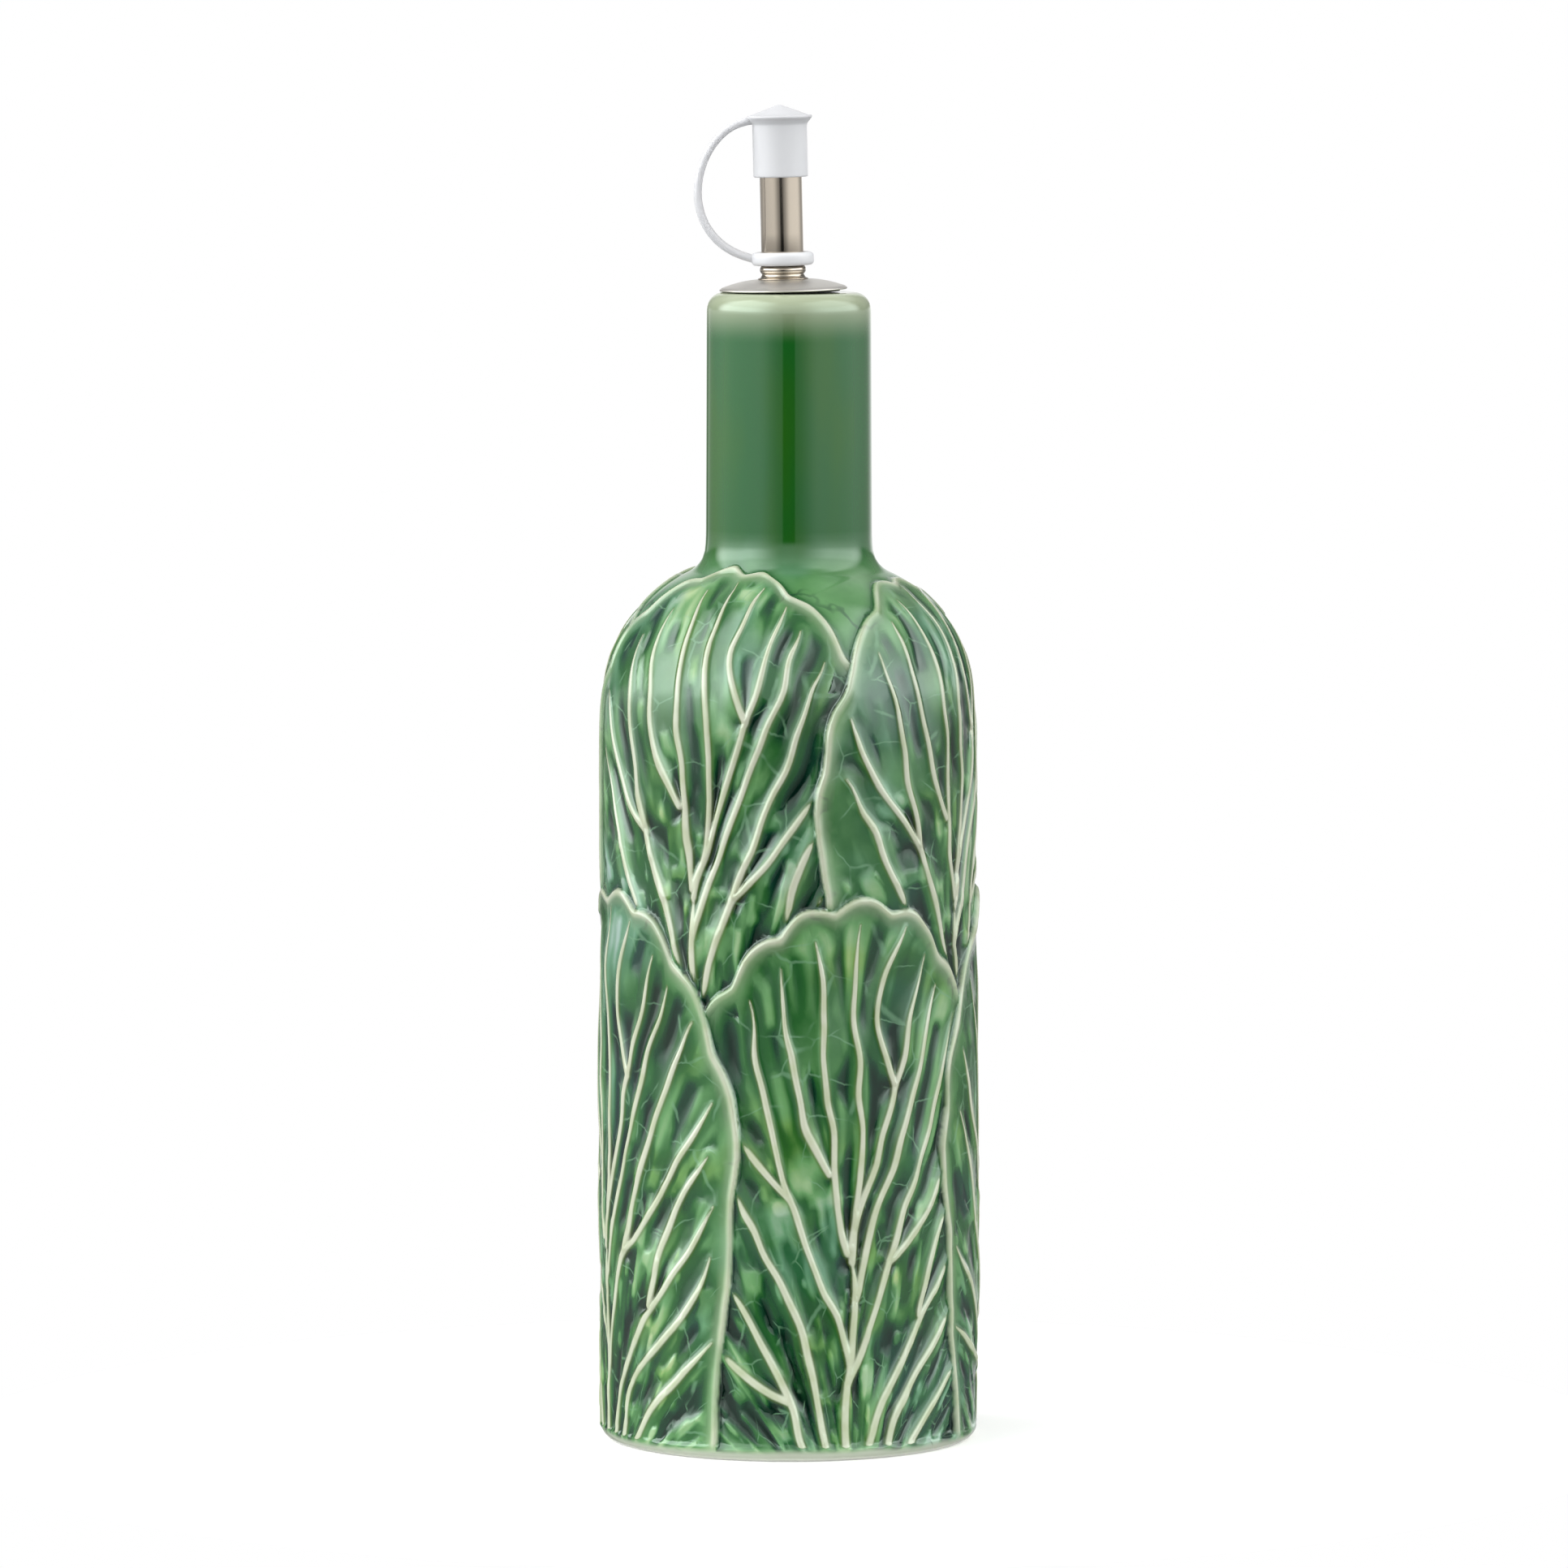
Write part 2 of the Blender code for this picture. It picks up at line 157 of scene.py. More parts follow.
def places(mesh: bpy.types.Mesh) -> tuple[np.ndarray, np.ndarray]:
    """Find where a mesh's points are.

    Args:
        mesh: The mesh.

    Returns:
        The points in millimetres, and their bearings from the front in degrees.
    """
    place = np.empty(3 * len(mesh.vertices), dtype=np.float32)
    mesh.vertices.foreach_get("co", place)
    place = place.reshape(-1, 3).astype(float) / MM
    return place, np.degrees(np.arctan2(place[:, 0], -place[:, 1]))


def turned(
    name: str, profile: Profile, steps: int, closed: bool = False, cuts: int = 0, cut_top: float = 0.0
) -> bpy.types.Object:
    """Turn a profile about Z with a full spin.

    Args:
        name: Name of the piece.
        profile: Pairs of radius and height in millimetres.
        steps: Number of steps round the turn.
        closed: Whether the profile's ends are joined.
        cuts: Number of cuts made afterwards in each edge below cut_top.
        cut_top: Height in millimetres up to which edges are cut.

    Returns:
        The turned piece, smooth, with its normals outward and the place in the profile kept on its points.
    """
    shape = bmesh.new()
    row = shape.verts.layers.float.new("row")
    verts = [shape.verts.new((r * MM, 0.0, z * MM)) for r, z in profile]
    for number, vert in enumerate(verts):
        vert[row] = number
    edges = [shape.edges.new(pair) for pair in zip(verts, verts[1:])]
    if closed:
        edges.append(shape.edges.new((verts[-1], verts[0])))
    bmesh.ops.spin(
        shape, geom=verts + edges, axis=(0, 0, 1), cent=(0, 0, 0), angle=math.tau, steps=steps, use_merge=True
    )
    bmesh.ops.remove_doubles(shape, verts=shape.verts, dist=MERGE)
    bmesh.ops.recalc_face_normals(shape, faces=shape.faces)
    if cuts:
        low_edges = [edge for edge in shape.edges if max(vert.co.z for vert in edge.verts) <= cut_top * MM]
        bmesh.ops.subdivide_edges(shape, edges=low_edges, cuts=cuts, use_grid_fill=True)
    mesh = bpy.data.meshes.new(name)
    shape.to_mesh(mesh)
    shape.free()
    mesh.shade_smooth()
    return add_object(mesh, name)


class NodeSheet:
    """A short way to lay out nodes."""

    def __init__(self, tree: bpy.types.NodeTree) -> None:
        """Start with an empty sheet."""
        self.tree = tree
        self.tree.nodes.clear()

    def add(self, kind: str, **settings: object) -> bpy.types.Node:
        """Add a node.

        Args:
            kind: Node type without the ShaderNode prefix.
            **settings: Properties of the node.

        Returns:
            The new node.
        """
        node = self.tree.nodes.new("ShaderNode" + kind)
        for key, value in settings.items():
            setattr(node, key, value)
        return node

    def join(self, source: object, target: bpy.types.NodeSocket) -> None:
        """Link a socket to a socket, or set a plain number or colour on the target."""
        if isinstance(source, bpy.types.NodeSocket):
            self.tree.links.new(source, target)
        elif target.type == "RGBA" and len(source) == 3:
            target.default_value = (*source, 1.0)
        else:
            target.default_value = source

    def maths(self, operation: str, first: object, second: object = 0.0, clamp: bool = False) -> object:
        """Add a Math node.

        Args:
            operation: Name of the operation.
            first: Socket or number.
            second: Socket or number.
            clamp: Whether the result is kept from 0 to 1.

        Returns:
            The node's output socket.
        """
        node = self.add("Math", operation=operation, use_clamp=clamp)
        self.join(first, node.inputs[0])
        self.join(second, node.inputs[1])
        return node.outputs[0]

    def product(self, *factors: object) -> object:
        """Multiply sockets or numbers together."""
        result = factors[0]
        for factor in factors[1:]:
            result = self.maths("MULTIPLY", result, factor)
        return result

    def line(self, value: object, slope: float, start: float) -> object:
        """Scale a value by a slope and add a start."""
        return self.maths("ADD", self.maths("MULTIPLY", value, slope), start)

    def ease(self, value: object, low: float, high: float) -> object:
        """Ease a value from 0 at low to 1 at high."""
        node = self.add("MapRange", interpolation_type="SMOOTHSTEP")
        self.join(value, node.inputs["Value"])
        node.inputs["From Min"].default_value = low
        node.inputs["From Max"].default_value = high
        return node.outputs["Result"]

    def fall(self, value: object, low: float, high: float, depth: float = 1.0) -> object:
        """Ease a value from 1 at low down by a depth at high."""
        return self.line(self.ease(value, low, high), -depth, 1.0)

    def mix(self, factor: object, first: object, second: object) -> object:
        """Mix two colours.

        Args:
            factor: Socket or number from 0 to 1.
            first: Colour or socket where the factor is 0.
            second: Colour or socket where the factor is 1.

        Returns:
            The mixed colour's socket.
        """
        node = self.add("Mix", data_type="RGBA")
        self.join(factor, node.inputs[0])
        self.join(first, node.inputs[6])
        self.join(second, node.inputs[7])
        return node.outputs[2]

    def tint(self, colour: object, gains: Colour) -> object:
        """Multiply a colour's channels by gains."""
        node = self.add("Mix", data_type="RGBA", blend_type="MULTIPLY", clamp_result=False)
        node.inputs[0].default_value = 1.0
        self.join(colour, node.inputs[6])
        self.join(gains, node.inputs[7])
        return node.outputs[2]

    def ramp(self, value: object, stops: tuple[tuple[float, Colour], ...]) -> object:
        """Read a colour ramp.

        Args:
            value: Socket with the position on the ramp.
            stops: Pairs of position and colour.

        Returns:
            The colour's socket.
        """
        node = self.add("ValToRGB")
        line = node.color_ramp
        while len(line.elements) < len(stops):
            line.elements.new(0.5)
        for element, (position, colour) in zip(line.elements, stops):
            element.position = position
            element.color = (*colour, 1.0)
        self.join(value, node.inputs[0])
        return node.outputs[0]


class MaterialSheet(NodeSheet):
    """The nodes of one material, with its shader and output."""

    def __init__(self, name: str) -> None:
        """Start a material with an empty sheet, an output and a shader."""
        self.material = bpy.data.materials.new(name)
        self.material.use_nodes = True
        super().__init__(self.material.node_tree)
        self.output = self.add("OutputMaterial")
        self.shader = self.add("BsdfPrincipled")
        self.join(self.shader.outputs[0], self.output.inputs[0])

    def noise(
        self,
        scale: float,
        detail: float = 2.0,
        stretch: Axes = (1.0, 1.0, 1.0),
        place: object = None,
    ) -> object:
        """Noise on the piece's own coordinates in metres.

        Args:
            scale: Cells in a unit of the coordinates.
            detail: Octaves of the noise.
            stretch: Extra scale on each axis.
            place: Socket of other coordinates.

        Returns:
            The noise value's socket.
        """
        if place is None:
            place = self.add("TexCoord").outputs["Object"]
        mapping = self.add("Mapping")
        self.join(place, mapping.inputs["Vector"])
        mapping.inputs["Scale"].default_value = stretch
        node = self.add("TexNoise")
        self.join(mapping.outputs[0], node.inputs["Vector"])
        node.inputs["Scale"].default_value = scale
        node.inputs["Detail"].default_value = detail
        return node.outputs["Fac"]

    def cracks(self, place: object, crook: float, bend: Axes, cell: float, half: float) -> object:
        """Thin crooked lines between cells.

        Args:
            place: Socket of the coordinates.
            crook: Scale of the noise that bends the lines.
            bend: How far it bends them on each axis.
            cell: Cells in a unit of the coordinates.
            half: Half width of a line, in cells.

        Returns:
            The socket that is 1 on the lines.
        """
        wander = self.add("TexNoise")
        self.join(place, wander.inputs["Vector"])
        wander.inputs["Scale"].default_value = crook
        moved = self.add("VectorMath", operation="MULTIPLY_ADD")
        self.join(wander.outputs["Color"], moved.inputs[0])
        moved.inputs[1].default_value = bend
        self.join(place, moved.inputs[2])
        cells = self.add("TexVoronoi", feature="DISTANCE_TO_EDGE")
        self.join(moved.outputs[0], cells.inputs["Vector"])
        cells.inputs["Scale"].default_value = cell
        return self.fall(cells.outputs["Distance"], 0.004, half)

    def height_and_side(self) -> tuple[object, object]:
        """Sockets of the height above the table and the place from left to right, in metres."""
        parts = self.add("SeparateXYZ")
        self.join(self.add("TexCoord").outputs["Object"], parts.inputs[0])
        return parts.outputs[2], parts.outputs[0]

    def attribute(self, name: str) -> object:
        """Value of a number kept on the mesh's points."""
        return self.add("Attribute", attribute_name=name).outputs["Fac"]

    def bump(self, height: object, distance: float, strength: float = 1.0) -> None:
        """Give the shader a bump, with the height in units of the distance."""
        node = self.add("Bump")
        self.join(height, node.inputs["Height"])
        node.inputs["Distance"].default_value = distance
        node.inputs["Strength"].default_value = strength
        self.join(node.outputs[0], self.shader.inputs["Normal"])

    def set(self, **values: object) -> None:
        """Set or link the shader's sockets by name, with _ for a space."""
        for key, value in values.items():
            self.join(value, self.shader.inputs[key.replace("_", " ")])


@dataclass(frozen=True)
class LeafGlaze:
    """Clear green glaze that pools dark in hollows and thins to cream on raised lines.

    Spans are in metres where they follow the height, and in half widths of a
    vein where they follow the veins.
    """

    cream: Colour = (0.44, 0.46, 0.36)
    warm_cream: Colour = (0.375, 0.41, 0.28)
    lip: Colour = (0.31, 0.35, 0.24)
    neck: Colour = (0.005, 0.080, 0.012)
    neck_warm: Colour = (0.015, 0.086, 0.005)
    olive: Colour = (0.07, 0.10, 0.02)
    clay: Colour = (0.34, 0.37, 0.30)
    # Painted light: the lighter clay on the lowest millimetre of the foot, filling the shade where it meets
    # the floor.
    foot: Colour = (0.62, 0.64, 0.56)
    thread: Colour = (0.13, 0.26, 0.15)
    crack: Colour = (0.004, 0.028, 0.014)
    gloss_tint: Colour = (0.80, 1.0, 0.88)
    roughness: float = 0.05
    ior: float = 1.75
    neck_start: Span = (0.2030, 0.2150)
    lip_pale: Span = (0.2605, 0.2725)
    # Painted shade: over this span the glaze darkens towards the foot, holding down the light on the lower
    # body.
    low_shade: Span = (0.085, 0.025)
    # Painted light: the span over which the foot's clay lightens towards the floor.
    foot_light_span: Span = (0.0012, 0.0002)
    # Painted shade: the gains of that darkening towards the foot.
    low_shade_gain: Colour = (0.86, 0.90, 0.86)
    warm_gain: Colour = (1.45, 1.12, 0.45)
    cool_gain: Colour = (1.0, 0.92, 1.9)
    cloud: float = 0.20
    halo_span: Span = (0.95, 1.7)
    vein_span: Span = (0.50, 1.08)
    hairline_crook: float = 140.0
    hairline_bend: Axes = (0.009, 0.009, 0.009)
    hairline_cell: float = 42.0
    thread_crook: float = 0.12
    thread_bend: Axes = (3.0, 3.0, 0.0)
    thread_cell: float = 0.085
    greens: tuple[tuple[float, Colour], ...] = (
        (0.0, (0.25, 0.37, 0.20)),
        (0.25, (0.095, 0.23, 0.085)),
        (0.48, (0.018, 0.088, 0.021)),
        (0.72, (0.005, 0.034, 0.015)),
        (1.0, (0.001, 0.008, 0.005)),
    )

    def material(self) -> bpy.types.Material:
        """Lay out the glaze.

        Returns:
            The material.
        """
        sheet = MaterialSheet("green_glaze")
        high = sheet.height_and_side()[0]
        blade = sheet.attribute("blade")
        green = self.leaf_green(sheet, blade)
        streak = sheet.ease(sheet.noise(70.0, 2.0, (1.0, 1.0, 0.25)), 0.40, 0.66)
        neck = sheet.mix(streak, self.neck, self.neck_warm)
        green = sheet.mix(sheet.ease(high, *self.neck_start), green, neck)
        vein = sheet.attribute("vein")
        green = sheet.mix(sheet.line(sheet.ease(vein, *self.halo_span), -0.5, 0.5), green, self.olive)
        pale = sheet.maths("MAXIMUM", sheet.fall(vein, *self.vein_span), sheet.attribute("rim"))
        cream = sheet.mix(sheet.ease(sheet.noise(160.0), 0.35, 0.7), self.cream, self.warm_cream)
        colour = sheet.mix(pale, green, cream)
        # Painted shade: darken the colour towards the foot.
        low = sheet.maths("MULTIPLY", sheet.ease(high, *self.low_shade), 0.8)
        colour = sheet.mix(low, colour, sheet.tint(colour, self.low_shade_gain))
        # Painted light: the clay lightens in its lowest millimetre, filling the shade where the foot meets
        # the floor.
        clay = sheet.mix(sheet.ease(high, *self.foot_light_span), self.clay, self.foot)
        colour = sheet.mix(sheet.attribute("clay"), colour, clay)
        colour = sheet.mix(sheet.ease(high, *self.lip_pale), colour, self.lip)
        sheet.set(Base_Color=colour, Roughness=self.roughness, IOR=self.ior, Specular_Tint=self.gloss_tint)
        sheet.bump(sheet.noise(420.0), 0.00001, 0.2)
        return sheet.material

    def leaf_green(self, sheet: MaterialSheet, blade: object) -> object:
        """Green of the leaves and the shoulder, with warm and cool patches and thin lines.

        Args:
            sheet: The glaze's nodes.
            blade: How much a point belongs to a leaf.

        Returns:
            The colour's socket.
        """
        cloud = sheet.maths("MULTIPLY", sheet.maths("SUBTRACT", sheet.noise(110.0, 3.0), 0.5), self.cloud)
        green = sheet.ramp(sheet.maths("ADD", sheet.attribute("tone"), cloud, True), self.greens)
        warmth = sheet.product(sheet.ease(sheet.noise(55.0), 0.50, 0.68), 0.45, blade)
        green = sheet.mix(warmth, green, sheet.tint(green, self.warm_gain))
        cool_patches = sheet.ease(sheet.noise(38.0, 2.0, (1.0, 1.0, 0.8)), 0.50, 0.66)
        coolness = sheet.product(cool_patches, sheet.line(blade, 0.15, 0.45))
        green = sheet.mix(coolness, green, sheet.tint(green, self.cool_gain))
        green = sheet.mix(self.threads(sheet, blade), green, self.thread)
        return sheet.mix(self.hairlines(sheet, blade), green, self.crack)

    def hairlines(self, sheet: MaterialSheet, blade: object) -> object:
        """A few dark hairlines where the glaze is bare of leaves.

        Args:
            sheet: The glaze's nodes.
            blade: How much a point belongs to a leaf.

        Returns:
            How far the lines show.
        """
        place = sheet.add("TexCoord").outputs["Object"]
        line = sheet.cracks(place, self.hairline_crook, self.hairline_bend, self.hairline_cell, 0.030)
        broken = sheet.ease(sheet.noise(75.0, 1.0), 0.50, 0.60)
        return sheet.product(line, broken, sheet.line(blade, -0.6, 0.6))

    def threads(self, sheet: MaterialSheet, blade: object) -> object:
        """Faint thin lines that link the veins, on the leaf's own coordinates.

        Args:
            sheet: The glaze's nodes.
            blade: How much a point belongs to a leaf.

        Returns:
            How far the lines show.
        """
        place = sheet.add("Attribute", attribute_name="leaf").outputs["Vector"]
        line = sheet.cracks(place, self.thread_crook, self.thread_bend, self.thread_cell, 0.026)
        broken = sheet.ease(sheet.noise(0.13, 1.0, place=place), 0.44, 0.58)
        return sheet.product(line, broken, blade, 0.5)


@dataclass(frozen=True)
class Steel:
    """Steel, polished or turned to a satin."""

    name: str
    colour: Colour
    roughness: float
    streaks: Axes
    streak_depth: float
    smear_gain: float = 0.88
    smear_roughness: float = 0.08

    def material(self) -> bpy.types.Material:
        """Lay out the steel with fine streaks.

        Returns:
            The material.
        """
        sheet = MaterialSheet(self.name)
        smear = sheet.noise(60.0, 3.0)
        colour = sheet.mix(smear, self.colour, tuple(self.smear_gain * c for c in self.colour))
        rough = sheet.line(smear, self.smear_roughness, self.roughness)
        sheet.set(Base_Color=colour, Metallic=1.0, Roughness=rough)
        sheet.bump(sheet.noise(2600.0, 2.0, self.streaks), self.streak_depth, 1.0)
        return sheet.material


@dataclass(frozen=True)
class MilkPlastic:
    """Translucent white plastic with a soft moulded sheen."""

    colour: Colour = (0.58, 0.59, 0.605)
    cloud: Colour = (0.57, 0.58, 0.60)
    # Painted shade: a darker copy of the plastic on the strap, whose side the light strikes hardest.
    strap: Colour = (0.505, 0.51, 0.525)
    # Painted shade: a darker copy of the plastic on the cap's top, where the light falls strongest.
    roof: Colour = (0.465, 0.47, 0.485)
    roughness: float = 0.32
    roof_shade_start: Span = (0.3115, 0.3135)
    strap_start: Span = (-0.0075, -0.0105)
    depth: float = 0.003

    def material(self) -> bpy.types.Material:
        """Lay out the plastic, with more light through the thin strap, and painted shade on the strap and the
        cap's top.

        Returns:
            The material.
        """
        sheet = MaterialSheet("white_plastic")
        cloud = sheet.noise(120.0)
        colour = sheet.mix(cloud, self.colour, self.cloud)
        high, side = sheet.height_and_side()
        # Painted shade: the cap's top takes the darker roof colour.
        colour = sheet.mix(sheet.ease(high, *self.roof_shade_start), colour, self.roof)
        # Painted shade: the strap takes a darker copy of the plastic; the same mask gives it more light
        # through it below.
        strap = sheet.ease(side, *self.strap_start)
        colour = sheet.mix(strap, colour, self.strap)
        sheet.set(Base_Color=colour, Roughness=sheet.line(cloud, 0.1, self.roughness))
        sheet.set(Subsurface_Weight=sheet.line(strap, 0.7, 0.3), Subsurface_Scale=self.depth)
        sheet.set(Subsurface_Radius=(1.0, 1.0, 1.0))
        sheet.bump(sheet.noise(600.0, 1.0), 0.000004, 0.2)
        return sheet.material


@dataclass(frozen=True)
class BlackRubber:
    """Matt black rubber with a fine tooth."""

    colour: Colour = (0.012, 0.012, 0.012)
    dust: Colour = (0.03, 0.03, 0.028)
    roughness: float = 0.55

    def material(self) -> bpy.types.Material:
        """Lay out the rubber.

        Returns:
            The material.
        """
        sheet = MaterialSheet("black_rubber")
        dust = sheet.noise(800.0, 3.0)
        sheet.set(Base_Color=sheet.mix(dust, self.colour, self.dust), Roughness=self.roughness)
        sheet.bump(dust, 0.00003, 0.6)
        return sheet.material


@dataclass
class Leaf:
    """Where one moulded leaf lies on the body.

    The level and tilt lift the blade, and left_only lays just its left part
    over a neighbour that was laid later.
    """

    middle: float
    tip: float
    level: float
    tilt: float = 0.0
    left_only: bool = False
    seed: int = 0
    fullness: tuple[float, float] = (1.68, 1.85)


@dataclass
class LeafMould:
    """The shape shared by all the leaves, laid flat in millimetres.

    Across is the distance from the leaf's middle line and down is the
    distance below its tip.
    """

    girth: float = 44.6
    half_angle: float = 56.5
    round_length: float = 60.0
    narrowing: float = 0.002
    rim_width: float = 1.8
    rim_rise: float = 0.42
    vein_rise: float = 0.75
    webbing: float = 5.0
    tip_round: float = 6.0
    root: float = 152.0
    step: float = 0.3
    reach: float = 46.0
    length: float = 137.0
    far: float = 40.0
    far_ratio: float = 9.0
    vein_reach: float = 16.0
    vein_start: float = 0.46
    vein_swell: float = 0.28
    vein_spread: float = 0.0023
    lobes: float = 8.0
    lobe_depth: float = 0.052
    sway: float = 0.014
    veins: tuple = (
        ((2, 4), (-3, 30), (7, 58), (-1, 84)),
        ((-1, 84), (-1, 98), (-3, 112), (-2, 136)),
        ((-12, 8), (-7, 25), (-11, 52), (-2, 82)),
        ((-23, 15), (-21, 35), (-19, 50), (-8, 63)),
        ((-33, 23), (-26, 60), (-22, 64), (-2, 108)),
        ((-44, 38), (-38, 54), (-30, 62), (-20, 69)),
        ((16, 6), (8, 20), (6, 32), (14, 43)),
        ((26, 13), (16, 36), (14, 44), (-1, 81)),
        ((32, 20), (24, 38), (18, 48), (-1, 93)),
        ((40, 28), (27, 50), (20, 68), (-2, 112)),
        ((46, 47), (33, 66), (25, 76), (12, 84)),
        ((45, 60), (34, 74), (25, 86), (24, 97)),
        ((48, 72), (33, 92), (9, 108), (3, 134)),
        ((46, 84), (33, 112), (14, 106), (10, 134)),
        ((47, 104), (34, 118), (24, 122), (14, 134)),
        ((-46, 52), (-27, 80), (-12, 108), (-7, 134)),
        ((-47, 84), (-30, 100), (-22, 112), (-13, 134)),
        ((-48, 103), (-38, 108), (-30, 114), (-22, 116)),
    )

    def __post_init__(self) -> None:
        """Lay out the grid and draw the veins on it."""
        self.across = np.arange(-self.reach, self.reach + self.step, self.step)
        self.down = np.arange(-4.0, self.length, self.step)
        shape = (len(self.down), len(self.across))
        self.nearest = np.full(shape, self.far)
        self.second = np.full(shape, self.far)
        self.ratio = np.zeros(shape)
        self.ridge = np.zeros(shape)
        for curve in self.veins:
            line = self.vein_line(curve)
            away, ratio, run = self.stroke(*line)
            closer = away < self.nearest
            self.second = np.where(closer, self.nearest, np.minimum(self.second, away))
            self.nearest = np.minimum(self.nearest, away)
            thin = 0.4 * (1.0 - smoothstep(0.0, 0.14, run))
            self.ratio += np.exp(-self.webbing * (ratio + thin))
            rise = smoothstep(-0.1, 0.18, run)
            mound = 0.72 * np.exp(-0.8 * ratio ** 2.2) + 0.28 * np.exp(-(away / 2.4) ** 2)
            self.ridge = np.maximum(self.ridge, rise * mound)
        self.ratio = np.clip(-np.log(self.ratio + 1e-20) / self.webbing, 0.0, self.far_ratio)

    def vein_line(self, curve: tuple, count: int = 18) -> tuple[np.ndarray, np.ndarray]:
        """Points along a vein from its outer end to its root.

        Args:
            curve: Four control points, in degrees across and millimetres down.
            count: Number of points.

        Returns:
            The points, and the vein's half width at each.
        """
        a, b, c, d = (np.array(p, dtype=float) for p in curve)
        t = np.linspace(0.0, 1.0, count)[:, None]
        line = a * (1 - t) ** 3 + 3 * b * t * (1 - t) ** 2 + 3 * c * t * t * (1 - t) + d * t ** 3
        line[:, 0] *= math.radians(self.girth)
        half = self.vein_start + self.vein_swell * smoothstep(0.0, 0.35, t[:, 0])
        return line, half + self.vein_spread * line[:, 1]

    def stroke(self, line: np.ndarray, half: np.ndarray) -> tuple[np.ndarray, np.ndarray, np.ndarray]:
        """Distances to a line drawn on the grid, worked out within the veins' reach.

        Args:
            line: Points of the line.
            half: Half width at each point.

        Returns:
            Distance, distance over half width, and share of the way along.
        """
        shape, reach = self.nearest.shape, self.vein_reach
        away = np.full(shape, self.far)
        ratio = np.full(shape, self.far_ratio)
        run = np.zeros(shape)
        total = len(line) - 1
        for i in range(total):
            (x0, w0), (x1, w1) = line[i], line[i + 1]
            cols = slice(*np.searchsorted(self.across, (min(x0, x1) - reach, max(x0, x1) + reach)))
            rows = slice(*np.searchsorted(self.down, (min(w0, w1) - reach, max(w0, w1) + reach)))
            x = self.across[cols][None, :]
            w = self.down[rows][:, None]
            dx, dw = x1 - x0, w1 - w0
            t = np.clip(((x - x0) * dx + (w - w0) * dw) / (dx * dx + dw * dw + 1e-9), 0.0, 1.0)
            gap = np.hypot(x - x0 - t * dx, w - w0 - t * dw)
            closer = gap < away[rows, cols]
            away[rows, cols] = np.where(closer, gap, away[rows, cols])
            width = half[i] + (half[i + 1] - half[i]) * t
            ratio[rows, cols] = np.where(closer, gap / width, ratio[rows, cols])
            run[rows, cols] = np.where(closer, (i + t) / total, run[rows, cols])
        return away, ratio, run

    def fan(self, x: np.ndarray, w: np.ndarray) -> tuple[np.ndarray, np.ndarray]:
        """Coordinates that spread from the leaf's root, across and outward in millimetres."""
        fall = self.root - w
        return 90.0 * np.arctan2(x, fall), np.hypot(x, fall)

    def edge(self, x: np.ndarray, w: np.ndarray, leaf: Leaf) -> np.ndarray:
        """Distance inward from the leaf's lobed outline.

        Args:
            x: Distance across.
            w: Distance down.
            leaf: The leaf, with how square its left and right shoulders are.

        Returns:
            The distance, below zero outside the leaf.
        """
        half = math.radians(self.half_angle) * self.girth
        half = half * (1.0 - self.narrowing * np.clip(w - self.round_length, 0, None))
        up = np.clip(self.round_length - w, 0.0, None)
        across = (np.hypot(x, self.tip_round) - self.tip_round) / (half - 0.9 * self.tip_round)
        down = up / self.round_length
        power = np.where(x < 0.0, *leaf.fullness)
        ratio = np.clip(across ** power + down ** power, 0.0001, None) ** (1.0 / power)
        turn = np.arctan2(x / half, down)
        phase = 1.9 * leaf.seed + 0.5
        swing = self.lobes * turn + 0.8 * np.sin(2.3 * turn + phase) + phase
        lobes = np.sqrt(np.sin(swing) ** 2 + 0.04) - 0.66
        wave = self.lobe_depth * lobes * smoothstep(1.6, 1.2, np.abs(turn))
        wave = wave + self.sway * np.sin(4.0 * turn + phase)
        wave += self.sway * np.sin(w / 6.5 + phase) * smoothstep(40.0, 70.0, w)
        lean = np.hypot(across ** (power - 1.0) / half, down ** (power - 1.0) / self.round_length)
        slope = lean * ratio ** (1.0 - power)
        return (1.0 + wave - ratio) / np.clip(slope, 0.012, None)

    def read(self, grid: np.ndarray, x: np.ndarray, w: np.ndarray) -> np.ndarray:
        """Read a grid between its points.

        Args:
            grid: Values on the grid.
            x: Distance across.
            w: Distance down.

        Returns:
            Values at the places asked for.
        """
        u = np.clip((x - self.across[0]) / self.step, 0.0, len(self.across) - 1.001)
        return between(grid, u, (w - self.down[0]) / self.step)


